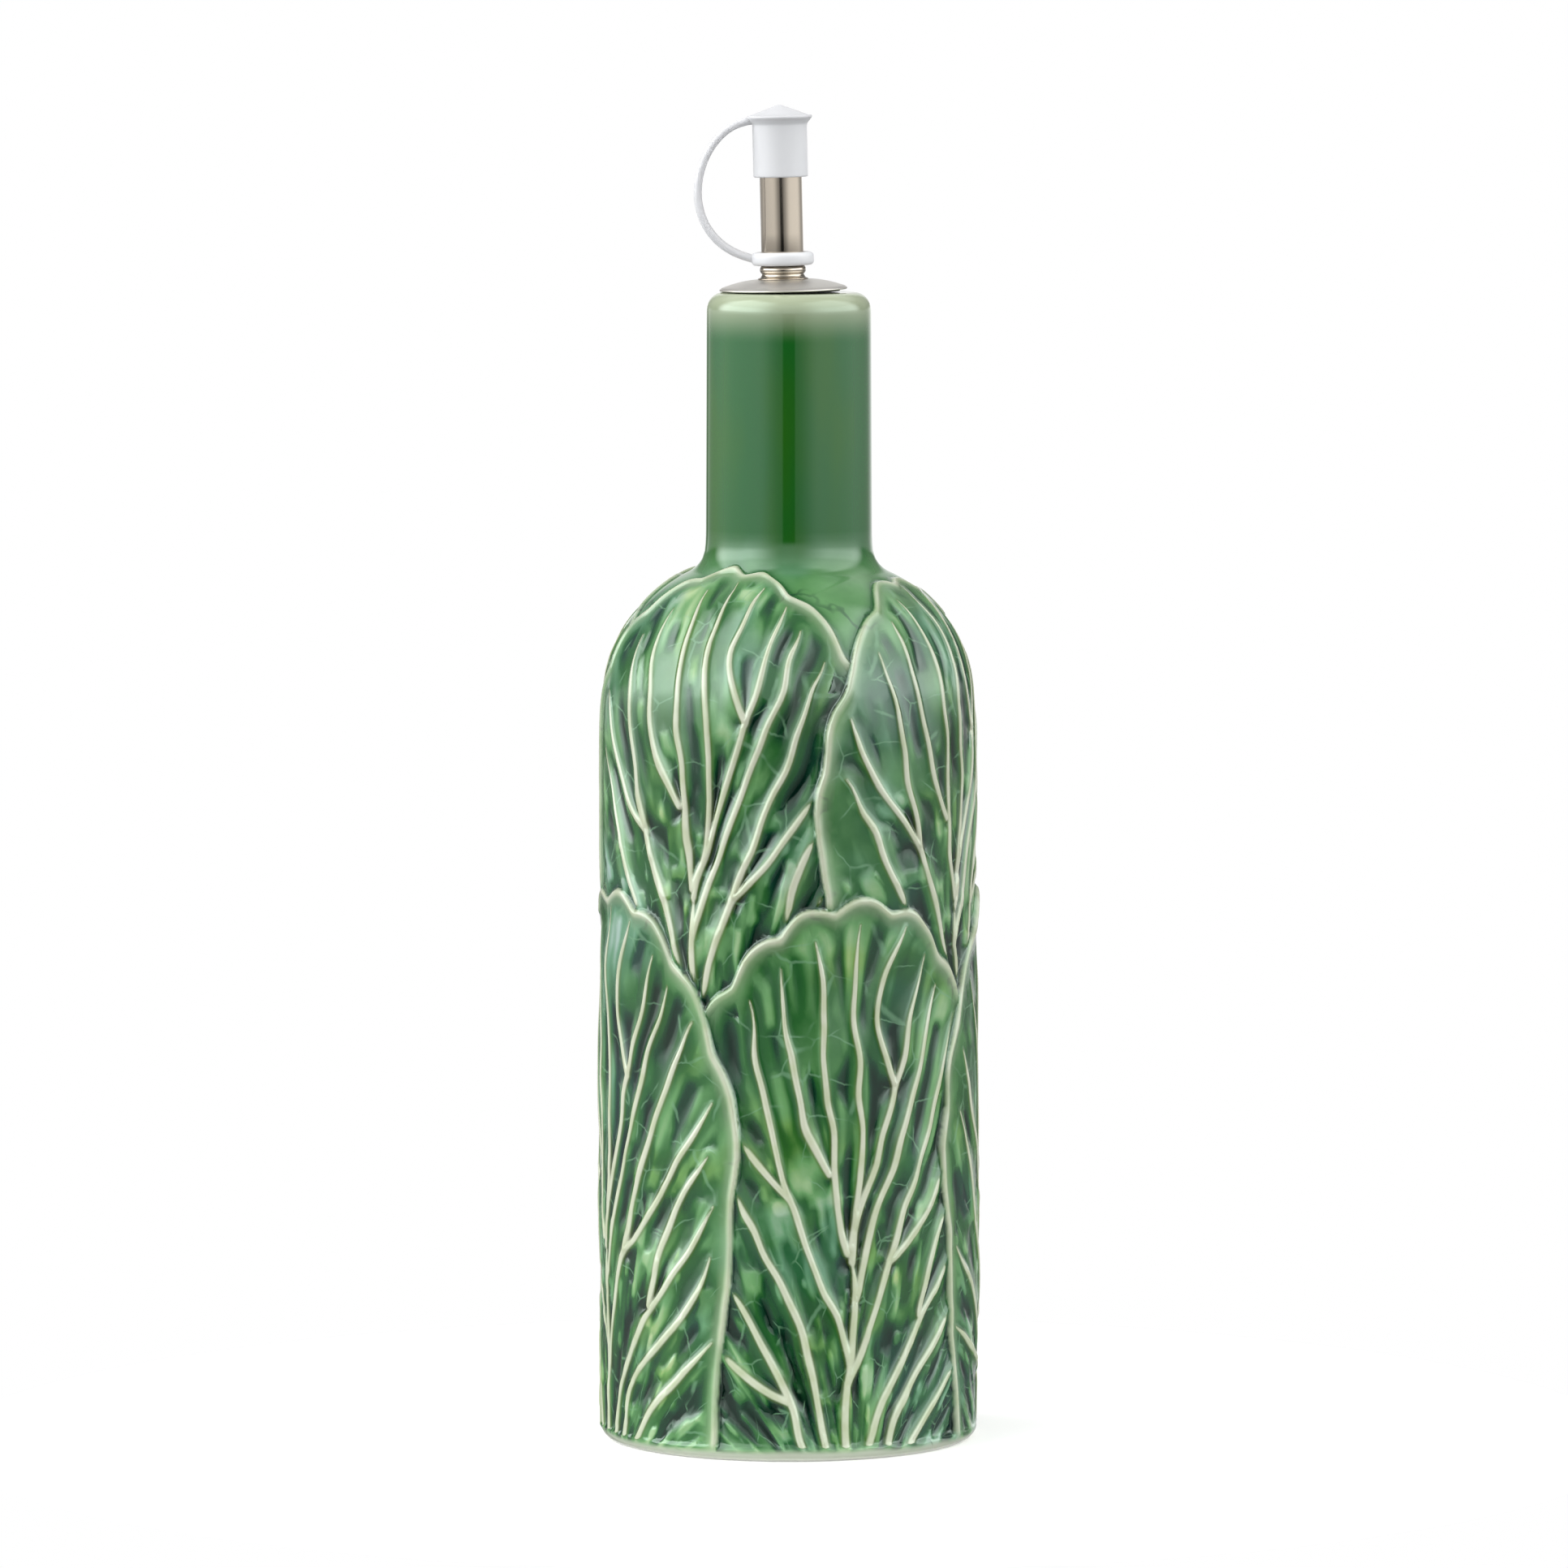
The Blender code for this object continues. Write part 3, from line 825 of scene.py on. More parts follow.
@dataclass
class LeafWrap:
    """All the leaves laid round the body on one unrolled sheet."""

    full_run: float
    mould: LeafMould = field(default_factory=LeafMould)
    upper_tips: tuple[float, ...] = (216.0, 218.5, 214.5, 217.0)
    upper_middles: tuple[float, ...] = (-116.5, -28.0, 64.0, 153.5)
    lower_tips: tuple[float, ...] = (132.8, 130.5, 134.0, 133.5)
    lower_middles: tuple[float, ...] = (20.5, 197.5, 109.5, -71.5)
    front_fullness: Span = (2.1, 1.98)
    lower_fullness: Span = (1.85, 1.78)
    upper_level: float = -0.15
    lower_level: float = -0.1
    overlap_tilt: float = 0.3
    tilt_reach: float = 40.0
    bare_depth: float = 0.45
    bare_end: float = 12.0
    groove: float = 0.16
    edge_blur: float = 0.6
    unevenness: float = 0.9
    pool_share: float = 0.4
    band_top: float = 4.2
    bare_tone: float = 0.31
    no_vein: float = 9.0
    columns: int = 1440
    row_step: float = 0.3

    def leaves(self) -> list[Leaf]:
        """Leaves from the lowest layer up."""
        laid = []
        for k, (middle, tip) in enumerate(zip(self.upper_middles, self.upper_tips)):
            laid.append(Leaf(middle, tip, self.upper_level, -self.overlap_tilt, seed=k))
        laid[1].fullness = self.front_fullness
        first = laid[0]
        laid.append(Leaf(first.middle, first.tip, first.level, first.tilt, left_only=True))
        for k, (middle, tip) in enumerate(zip(self.lower_middles, self.lower_tips)):
            lift = self.overlap_tilt if k > 1 else 0.0
            laid.append(Leaf(middle, tip, self.lower_level + lift, seed=10 + k, fullness=self.lower_fullness))
        return laid

    def lay(self) -> None:
        """Work out the relief and the glaze's cover on the sheet."""
        self.turns = (np.arange(self.columns) / self.columns) * 360.0 - 180.0
        self.runs = np.arange(0.0, self.full_run + self.row_step, self.row_step)
        angle, run = np.meshgrid(self.turns, self.runs)
        self.height = -self.bare_depth * smoothstep(self.full_run, self.full_run - self.bare_end, run)
        self.tone = np.full(angle.shape, self.bare_tone)
        self.vein = np.full(angle.shape, self.no_vein)
        self.rim = np.zeros(angle.shape)
        self.blade = np.zeros(angle.shape)
        self.across = angle * 0.0
        self.outward = run * 0.0
        for leaf in self.leaves():
            self.lay_leaf(leaf, angle, run)
        self.finish_glaze(angle, run)

    def lay_leaf(self, leaf: Leaf, angle: np.ndarray, run: np.ndarray) -> None:
        """Lay one leaf over what is already on the sheet.

        Args:
            leaf: The leaf.
            angle: Angle round the body at each point of the sheet.
            run: Distance up the profile at each point.
        """
        mould, seed = self.mould, leaf.seed
        turn = (angle - leaf.middle + 180.0) % 360.0 - 180.0
        x = np.radians(turn) * mould.girth
        w = leaf.tip - run
        edge = mould.edge(x, w, leaf)
        edge += self.edge_blur * (self.patch(x, w, 5.0, 5.0, seed) - 0.5)
        near = (edge > -7.0) & (np.abs(turn) < 75.0)
        if leaf.left_only:
            near &= turn < 0.0
        x, w, edge = x[near], w[near], edge[near]
        bend = 2.2 * (self.patch(x, w, 20.0, 24.0, seed + 40) - 0.5)
        xv = x + bend + 1.7 * (self.patch(x, w, 7.0, 9.0, seed + 41) - 0.5)
        wv = w + 1.8 * (self.patch(x, w, 20.0, 24.0, seed + 50) - 0.5)
        ratio = mould.read(mould.ratio, xv, wv)
        body = smoothstep(2.0, 8.0, edge)
        pale_edge = 0.30 + 0.12 * self.patch(x, w, 8.0, 8.0, seed + 11)
        tone = pale_edge + (self.panel_tone(leaf, x, w, xv, wv) - pale_edge) * body
        blade = leaf.level + leaf.tilt * x / self.tilt_reach - 0.30 * smoothstep(1.0, 8.0, edge)
        rough = self.unevenness * (self.patch(x, w, 13.0, 19.0, seed + 30) - 0.5)
        blade += body * (0.7 * (0.42 - tone) + rough)
        swell = 0.7 + 0.6 * self.patch(x, w, 9.0, 9.0, seed + 20)
        from_rim = (edge - 0.6 * mould.rim_width) / (0.55 * mould.rim_width)
        rim = mould.rim_rise * swell * np.exp(-(from_rim ** 2))
        lines = mould.vein_rise * mould.read(mould.ridge, xv, wv) * smoothstep(0.5, 4.5, edge)
        outside = np.clip(edge, None, 0.0)
        below = self.height[near] - self.groove * np.exp(outside / 1.7)
        cover = smoothstep(-0.35, 0.75, edge)
        self.height[near] = below * (1.0 - cover) + (blade + np.maximum(rim, lines)) * cover
        mark = edge > 0.15
        across, outward = mould.fan(x, w)
        fade = np.exp(outside / 0.8)
        worn = 0.75 * smoothstep(1.1, 2.6, edge) + 0.25 * smoothstep(2.0, 5.0, edge)
        pale = smoothstep(0.0, 0.5, edge) * (1.0 - worn)
        pale *= 0.9 - 0.4 * smoothstep(0.5, 0.8, self.patch(x, w, 12.0, 12.0, seed + 12))
        for layer, inside, out in (
            # Outside a leaf's edge the tone darkens: glaze pooled in the crease, and painted shade under the
            # overlapping edge.
            (self.tone, tone, np.clip(self.tone[near] + 0.14 * np.exp(outside / 1.2), 0.0, 1.0)),
            (self.vein, ratio + 3.0 * (1 - smoothstep(0.3, 3.0, edge)), self.vein[near] + 2.0 * fade),
            (self.rim, pale, self.rim[near] * (1.0 - fade)),
            (self.blade, smoothstep(2.0, 5.0, edge), self.blade[near] * (1.0 - fade)),
            (self.across, across + 60.0 * seed, self.across[near]),
            (self.outward, outward, self.outward[near]),
        ):
            layer[near] = np.where(mark, inside, out)

    def patch(self, x: np.ndarray, w: np.ndarray, wide: float, long: float, seed: int) -> np.ndarray:
        """Soft patches of a width and a length in millimetres, from 0 to 1."""
        return lattice_noise(x / wide + 30.0, w / long + 30.0, seed)

    def panel_tone(
        self, leaf: Leaf, x: np.ndarray, w: np.ndarray, xv: np.ndarray, wv: np.ndarray
    ) -> np.ndarray:
        """How dark the glaze is between the veins.

        Args:
            leaf: The leaf.
            x: Distance across.
            w: Distance down.
            xv: Distance across in the bent drawing of the veins.
            wv: Distance down in the bent drawing of the veins.

        Returns:
            The tone, from 0 for pale to 1 for dark.
        """
        mould, seed = self.mould, leaf.seed
        nearest = mould.read(mould.nearest, xv, wv)
        second = mould.read(mould.second, xv, wv)
        middle = np.clip(2.0 * nearest / np.clip(nearest + second, 0.5, None), 0.0, 1.0)
        middle = np.where(second > 12.0, smoothstep(0.5, 5.0, nearest), middle)
        narrow = 1.0 - smoothstep(2.5, 6.0, nearest + second)
        u, v = mould.fan(x, w)
        deep = smoothstep(0.40, 0.9, middle)
        slots = smoothstep(0.36, 0.74, self.patch(u, v, 4.2, 10.0, seed + 60))
        stripes = smoothstep(0.42, 0.78, self.patch(u, v, 3.0, 11.0, seed + 80))
        puffs = smoothstep(0.52, 0.88, self.patch(u, v, 5.0, 8.0, seed + 90))
        flank = np.exp(-(((middle - 0.5) / 0.28) ** 2))
        tone = 0.48 + 0.36 * (self.patch(u, v, 7.0, 17.0, seed + 95) - 0.5)
        # The last term darkens each leaf towards its lower end: painted shade on the lower body.
        tone += 0.40 * deep * slots + 0.18 * narrow + 0.09 * smoothstep(80.0, 115.0, w)
        blots = smoothstep(0.58, 0.86, self.patch(u, v, 2.9, 4.6, seed + 70)) * smoothstep(45.0, 85.0, w)
        tip = smoothstep(30.0, 8.0, w)
        return tone - (0.17 * stripes * flank + 0.30 * puffs * deep + 0.14 * tip + 0.26 * blots)

    def finish_glaze(self, angle: np.ndarray, run: np.ndarray) -> None:
        """Let the glaze pool in hollows, and end the leaves above the foot band.

        Args:
            angle: Angle round the body at each point of the sheet.
            run: Distance up the profile at each point.
        """
        soft = self.height
        for _pass in range(3):
            soft = (np.roll(soft, 6, axis=1) + soft + np.roll(soft, -6, axis=1)) / 3.0
            soft = (np.roll(soft, 4, axis=0) + soft + np.roll(soft, -4, axis=0)) / 3.0
        pool = soft - self.height
        self.tone = self.tone + self.pool_share * np.clip(pool, -0.4, 0.6)
        past = run - self.band_top - 0.8 * (lattice_noise(angle / 9.0 + 80, run * 0.0, 7) - 0.5)
        self.tone = np.clip(self.tone - 0.3 * np.exp(-np.clip(past, 0.0, None) / 1.3), 0.0, 1.0)
        self.height *= smoothstep(-0.5, 2.0, past)
        self.clay = 1.0 - smoothstep(-1.0, 0.6, past)
        for layer in (self.blade, self.rim):
            layer *= smoothstep(0.0, 2.0, past)
        self.vein += 3.0 * (1.0 - smoothstep(0.0, 1.0, past))

    def read(self, grid: np.ndarray, angle: np.ndarray, run: np.ndarray) -> np.ndarray:
        """Read the sheet between its points.

        Args:
            grid: Values on the sheet.
            angle: Angles in degrees.
            run: Distances up the profile.

        Returns:
            Values at the places asked for.
        """
        u = ((angle + 180.0) % 360.0) / 360.0 * self.columns
        return between(grid, u, run / self.row_step)

    def nearest(self, grid: np.ndarray, angle: np.ndarray, run: np.ndarray) -> np.ndarray:
        """Value of the sheet's nearest point, for layers that jump at a leaf's edge."""
        column = np.round((angle + 180.0) / 360.0 * self.columns).astype(int) % self.columns
        row = np.clip(np.round(run / self.row_step).astype(int), 0, grid.shape[0] - 1)
        return grid[row, column]


@dataclass
class BottleBody:
    """The one-piece glazed bottle: foot, leaf-wrapped body, shoulder, neck and lip."""

    radius: float = 44.6
    side_top: float = 175.4
    foot_radius: float = 41.6
    foot_corner: float = 3.2
    foot_inner: float = 36.5
    recess: float = 1.2
    shoulder_arc: float = 34.0
    shoulder_ease: float = 12.0
    shoulder_turn: float = 5.5
    neck_fillet: float = 7.0
    neck_ease: float = 5.0
    ease_turn: float = 9.0
    neck_low: float = 19.95
    neck_top: float = 19.45
    lip_rounding: float = 4.2
    lip_top: float = 272.2
    columns: int = 210
    row_step: float = 1.76
    cuts: int = 3
    relief_top: float = 211.0
    triangles: int = 192000
    trace_steps: int = 1400
    batch: int = 20000
    slope_step: float = 0.3

    def wall_line(self) -> Profile:
        """The body's outer line from the foot's contact circle to the neck, finely spaced."""
        line = arc(self.foot_radius, self.foot_corner, self.foot_corner, -90.0, 0.0, 30)
        ease_radius = self.shoulder_ease / math.radians(self.shoulder_turn)
        lean = math.radians(self.shoulder_turn)
        start = self.side_top - (ease_radius - self.shoulder_arc) * math.sin(lean)
        line += [(self.radius, z) for z in np.linspace(self.foot_corner, start, 400)[1:-1]]
        line += arc(self.radius - ease_radius, start, ease_radius, 0.0, self.shoulder_turn, 30)[:-1]
        dome = self.radius - self.shoulder_arc - (ease_radius - self.shoulder_arc) * (1.0 - math.cos(lean))
        fillet = self.neck_low + self.neck_fillet
        rise = math.sqrt((self.shoulder_arc + self.neck_fillet) ** 2 - (fillet - dome) ** 2)
        meet = math.degrees(math.atan2(rise, fillet - dome))
        line += arc(dome, self.side_top, self.shoulder_arc, self.shoulder_turn, meet, 120)
        ease_radius = self.neck_ease / math.radians(self.ease_turn)
        start, end = 180.0 + meet, 180.0 + self.ease_turn
        line += arc(fillet, self.side_top + rise, self.neck_fillet, start, end, 40)[1:]
        meet_r, meet_z = line[-1]
        centre_r = meet_r + ease_radius * math.cos(math.radians(self.ease_turn))
        centre_z = meet_z + ease_radius * math.sin(math.radians(self.ease_turn))
        line += arc(centre_r, centre_z, ease_radius, end, 180.0, 20)[1:]
        return line

    def trace(self) -> None:
        """Trace the whole profile finely, with distances up the wall from the foot's contact circle."""
        under = [(0.0, self.recess), (self.foot_inner - 1.2, self.recess)]
        under += [(self.foot_inner - 0.2, 0.15), (self.foot_inner + 0.3, 0.0)]
        wall = self.wall_line()
        neck_end = self.lip_top - self.lip_rounding
        lip = arc(self.neck_top - self.lip_rounding, neck_end, self.lip_rounding, 0.0, 90.0, 12)
        points = np.array(under + wall + lip + [(0.0, self.lip_top)])
        lengths = np.concatenate([[0.0], np.cumsum(np.hypot(*np.diff(points, axis=0).T))])
        start = lengths[len(under)]
        self.wall_length = float(lengths[len(under) + len(wall) - 1] - start)
        fine = np.linspace(0.0, lengths[-1], self.trace_steps)
        self.path = np.stack([np.interp(fine, lengths, points[:, k]) for k in (0, 1)], axis=1)
        self.path_runs = fine - start
        self.along = np.gradient(self.path, self.path_runs, axis=0)
        self.along /= np.linalg.norm(self.along, axis=1)[:, None]

    def follow(self, run: np.ndarray, values: np.ndarray) -> np.ndarray:
        """Read pairs kept along the profile.

        Args:
            run: Distances up the wall.
            values: Pairs along the traced profile.

        Returns:
            A pair for each distance.
        """
        return np.stack([np.interp(run, self.path_runs, values[:, k]) for k in (0, 1)], axis=1)

    def locate(self, radius: np.ndarray, high: np.ndarray) -> np.ndarray:
        """Distances up the wall of points on or near it.

        Args:
            radius: Distances of the points from the axis.
            high: Heights of the points.

        Returns:
            The distances.
        """
        runs = np.empty(len(radius))
        for first in range(0, len(radius), self.batch):
            part = slice(first, first + self.batch)
            gaps = (radius[part, None] - self.path[:, 0]) ** 2 + (high[part, None] - self.path[:, 1]) ** 2
            near = np.argmin(gaps, axis=1)
            reach = np.stack([radius[part], high[part]], axis=1) - self.path[near]
            runs[part] = self.path_runs[near] + np.sum(reach * self.along[near], axis=1)
        return runs

    def rows(self) -> np.ndarray:
        """Distances up the wall of the turned mesh's rows, from the underside's middle to the lip's."""
        low, high = self.path_runs[0], self.path_runs[-1]
        below = np.linspace(low, -6.0, 4)[:-1]
        wall = np.arange(-6.0, self.wall_length, self.row_step)
        neck = np.linspace(self.wall_length + 1.0, high - 26.0, 8)
        lip = np.arange(high - 25.0, high - 13.0, 0.8)
        return np.concatenate([below, wall, neck, lip, [high - 6.0, high]])

    def build(self) -> bpy.types.Object:
        """Turn the bottle, raise the leaves on it and thin the mesh where it is plain.

        Returns:
            The piece, with the glaze's cover kept on its points.
        """
        self.trace()
        runs = self.rows()
        profile = [tuple(pair) for pair in self.follow(runs, self.path)]
        piece = turned("glazed_bottle", profile[::-1], self.columns, cuts=self.cuts, cut_top=self.relief_top)
        wrap = LeafWrap(full_run=self.wall_length)
        wrap.lay()
        self.raise_leaves(piece, wrap, runs[::-1])
        self.thin(piece)
        self.keep_cover(piece, wrap)
        return piece

    def raise_leaves(self, piece: bpy.types.Object, wrap: LeafWrap, runs: np.ndarray) -> None:
        """Move the wall's points out by the relief.

        Args:
            piece: The turned bottle.
            wrap: The laid leaves.
            runs: Distance up the wall of each row, in the order of the turned profile.
        """
        mesh = piece.data
        place, angle = places(mesh)
        row = np.empty(len(place), dtype=np.float32)
        mesh.attributes["row"].data.foreach_get("value", row)
        run = np.interp(row, np.arange(len(runs)), runs)
        radius, high = self.follow(run, self.path).T
        along = self.follow(run, self.along)
        height = wrap.read(wrap.height, angle, run)
        radius = radius + height * along[:, 1]
        place[:, 0] = radius * np.sin(np.radians(angle))
        place[:, 1] = -radius * np.cos(np.radians(angle))
        place[:, 2] = high - height * along[:, 0]
        mesh.vertices.foreach_set("co", (place * MM).astype(np.float32).ravel())
        mesh.update()

    def thin(self, piece: bpy.types.Object) -> None:
        """Collapse the mesh where it is plain, so that the leaves' lines stay crisp at the set number of
        triangles.
        """
        faces = sum(len(face.vertices) - 2 for face in piece.data.polygons)
        below = piece.vertex_groups.new(name="relief")
        top = (self.relief_top - 1.0) * MM
        below.add([vert.index for vert in piece.data.vertices if vert.co.z < top], 1.0, "REPLACE")
        thinner = piece.modifiers.new("Thin", "DECIMATE")
        thinner.vertex_group = below.name
        thinner.ratio = self.triangles / faces
        thinner.use_collapse_triangulate = True
        graph = bpy.context.evaluated_depsgraph_get()
        mesh = bpy.data.meshes.new_from_object(piece.evaluated_get(graph))
        piece.modifiers.clear()
        piece.data = mesh
        mesh.shade_smooth()

    def keep_cover(self, piece: bpy.types.Object, wrap: LeafWrap) -> None:
        """Keep the glaze's cover and the relief's true slopes on the mesh's points.

        Args:
            piece: The bottle.
            wrap: The laid leaves.
        """
        mesh = piece.data
        place, angle = places(mesh)
        radius = np.hypot(place[:, 0], place[:, 1])
        run = self.locate(radius, place[:, 2])
        for name in ("tone", "vein", "rim", "blade", "clay"):
            layer = mesh.attributes.new(name, "FLOAT", "POINT")
            layer.data.foreach_set("value", wrap.read(getattr(wrap, name), angle, run).astype(np.float32))
        on_leaf = [wrap.nearest(grid, angle, run) for grid in (wrap.across, wrap.outward)]
        layer = mesh.attributes.new("leaf", "FLOAT_VECTOR", "POINT")
        layer.data.foreach_set("vector", np.stack([*on_leaf, 0.0 * run], axis=1).astype(np.float32).ravel())
        normal = self.slopes(wrap, radius, angle, run)
        mesh.normals_split_custom_set_from_vertices(normal.tolist())
        mesh.update()

    def slopes(self, wrap: LeafWrap, radius: np.ndarray, angle: np.ndarray, run: np.ndarray) -> np.ndarray:
        """Normals of the relief.

        Args:
            wrap: The laid leaves.
            radius: Distances of the points from the axis.
            angle: Bearings of the points in degrees.
            run: Distances of the points up the wall.

        Returns:
            A unit normal for each point.
        """
        step = self.slope_step
        turn = math.degrees(step / self.radius)
        rise = wrap.read(wrap.height, angle, run + step) - wrap.read(wrap.height, angle, run - step)
        rise = rise / (2.0 * step)
        swing = wrap.read(wrap.height, angle + turn, run) - wrap.read(wrap.height, angle - turn, run)
        swing = swing / (2.0 * step) * (self.radius / np.clip(radius, 5.0, None))
        along = self.follow(run, self.along)
        outward, upward = along[:, 1] - rise * along[:, 0], -along[:, 0] - rise * along[:, 1]
        round_x, round_y = np.sin(np.radians(angle)), -np.cos(np.radians(angle))
        across_x, across_y = outward * round_x + swing * round_y, outward * round_y - swing * round_x
        normal = np.stack([across_x, across_y, upward], axis=1)
        return normal / np.linalg.norm(normal, axis=1)[:, None]

    def dress(self, piece: bpy.types.Object) -> None:
        """Glaze the bottle, hide the imported bottle part and hang the piece on the root."""
        piece.data.materials.append(LeafGlaze().material())
        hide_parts("bottle")
        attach(piece, "root")


@dataclass
class Pourer:
    """The steel pourer: a domed plate, a tube with a bead, and the washer under them."""

    shift: float = -1.3
    lean: float = 1.3
    washer_radius: float = 13.4
    washer_low: float = 272.5
    washer_high: float = 272.85
    plate_radius: float = 15.1
    rim_low: float = 272.65
    plate_rise: float = 2.0
    wall: float = 0.5
    tube_radius: float = 5.0
    tube_bore: float = 4.2
    tube_top: float = 311.0
    bead_radius: float = 5.45
    bead_height: float = 2.2
    bore_depth: float = 12.0
    flare_radius: float = 6.0
    gap: float = 0.12
    flat: float = 5.6
    crown: float = 6.4
    inner_crown: float = 6.0
    dome: float = 1.7
    plate_edge: float = 0.22
    plate_steps: int = 128
    steps: int = 96
    polished: Steel = Steel("polished_steel", (0.68, 0.66, 0.62), 0.36, (0.3, 0.3, 0.3), 0.000003)
    satin: Steel = Steel("satin_steel", (0.50, 0.445, 0.37), 0.10, (1.0, 1.0, 0.01), 0.000006)

    def tilt(self) -> Matrix:
        """The pourer's lean to the left about the middle of its plate."""
        pivot = Vector((0.0, 0.0, self.rim_low * MM))
        turn = Matrix.Rotation(math.radians(-self.lean), 4, "Y")
        moved = pivot + Vector((self.shift * MM, 0.0, 0.0))
        return Matrix.Translation(moved) @ turn @ Matrix.Translation(-pivot)

    def plate(self) -> bpy.types.Object:
        """Build the domed plate with its rolled rim.

        Returns:
            The plate.
        """
        top_z = self.rim_low + self.plate_rise
        outer = [(0.0, top_z + self.wall), (self.flat, top_z + self.wall)]
        for r in np.linspace(self.crown, self.plate_radius - 0.5, 18):
            drop = ((r - self.crown) / (self.plate_radius - self.crown)) ** self.dome
            outer.append((r, top_z + self.wall - (self.plate_rise - 0.05) * drop))
        edge = self.plate_edge
        outer += arc(self.plate_radius - edge, self.rim_low + edge, edge, 80.0, -90.0, 8)
        inner = []
        for r in np.linspace(self.plate_radius - 0.6, self.inner_crown, 12):
            drop = ((r - self.inner_crown) / (self.plate_radius - self.inner_crown)) ** self.dome
            inner.append((r, top_z - self.plate_rise * drop))
        inner.append((0.0, top_z))
        piece = turned("domed_plate", outer + inner, self.plate_steps)
        piece.data.transform(self.tilt())
        return piece

    def tube(self) -> bpy.types.Object:
        """Build the pouring tube with its flared foot and rolled bead.

        Returns:
            The tube.
        """
        foot = self.rim_low + self.plate_rise + self.wall + self.gap
        line = [(0.0, self.tube_top - self.bore_depth), (self.tube_bore, self.tube_top - self.bore_depth)]
        line += [(self.tube_bore, self.tube_top - 0.1)]
        line += arc(0.5 * (self.tube_bore + self.tube_radius), self.tube_top - 0.4, 0.4, 180.0, 0.0, 8)
        line += [(self.tube_radius, z) for z in np.linspace(self.tube_top - 3.0, foot + 3.5, 5)]
        line += [(self.tube_radius - 0.03, foot + 3.3)]
        bead = self.bead_radius - self.tube_radius + 0.8
        line += arc(self.tube_radius - 0.8, foot + self.bead_height, bead, 50.0, -50.0, 13)
        line += [(self.tube_radius - 0.04, foot + 1.1), (self.tube_radius + 0.03, foot + 0.9)]
        line += [(self.tube_radius + 0.16, foot + 0.65), (self.tube_radius + 0.42, foot + 0.35)]
        line += [(self.flare_radius - 0.1, foot + 0.16), (self.flare_radius, foot), (0.0, foot)]
        piece = turned("pouring_tube", line, self.steps)
        piece.data.transform(self.tilt())
        return piece

    def washer(self) -> bpy.types.Object:
        """Build the thin washer with rounded edges.

        Returns:
            The washer.
        """
        half = 0.5 * (self.washer_high - self.washer_low)
        middle = self.washer_low + half
        line = [(0.0, self.washer_high)]
        line += arc(self.washer_radius - half, middle, half, 90.0, -90.0, 9)
        line += [(0.0, self.washer_low)]
        piece = turned("rubber_washer", line, self.steps)
        piece.data.transform(Matrix.Translation((self.shift * MM, 0.0, 0.0)))
        return piece

    def dress(self, plate: bpy.types.Object, tube: bpy.types.Object, washer: bpy.types.Object) -> None:
        """Give the three pieces their finishes and their places in the frame.

        Args:
            plate: The domed plate.
            tube: The pouring tube.
            washer: The washer.
        """
        for piece, node, slot, finish in (
            (plate, "pourer_plate", Slot.POLISHED, self.polished),
            (tube, "pourer_tube", Slot.SATIN, self.satin),
            (washer, "stopper_washer", Slot.RUBBER, BlackRubber()),
        ):
            piece.data.materials.append(finish.material())
            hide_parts(node)
            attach(piece, "root")


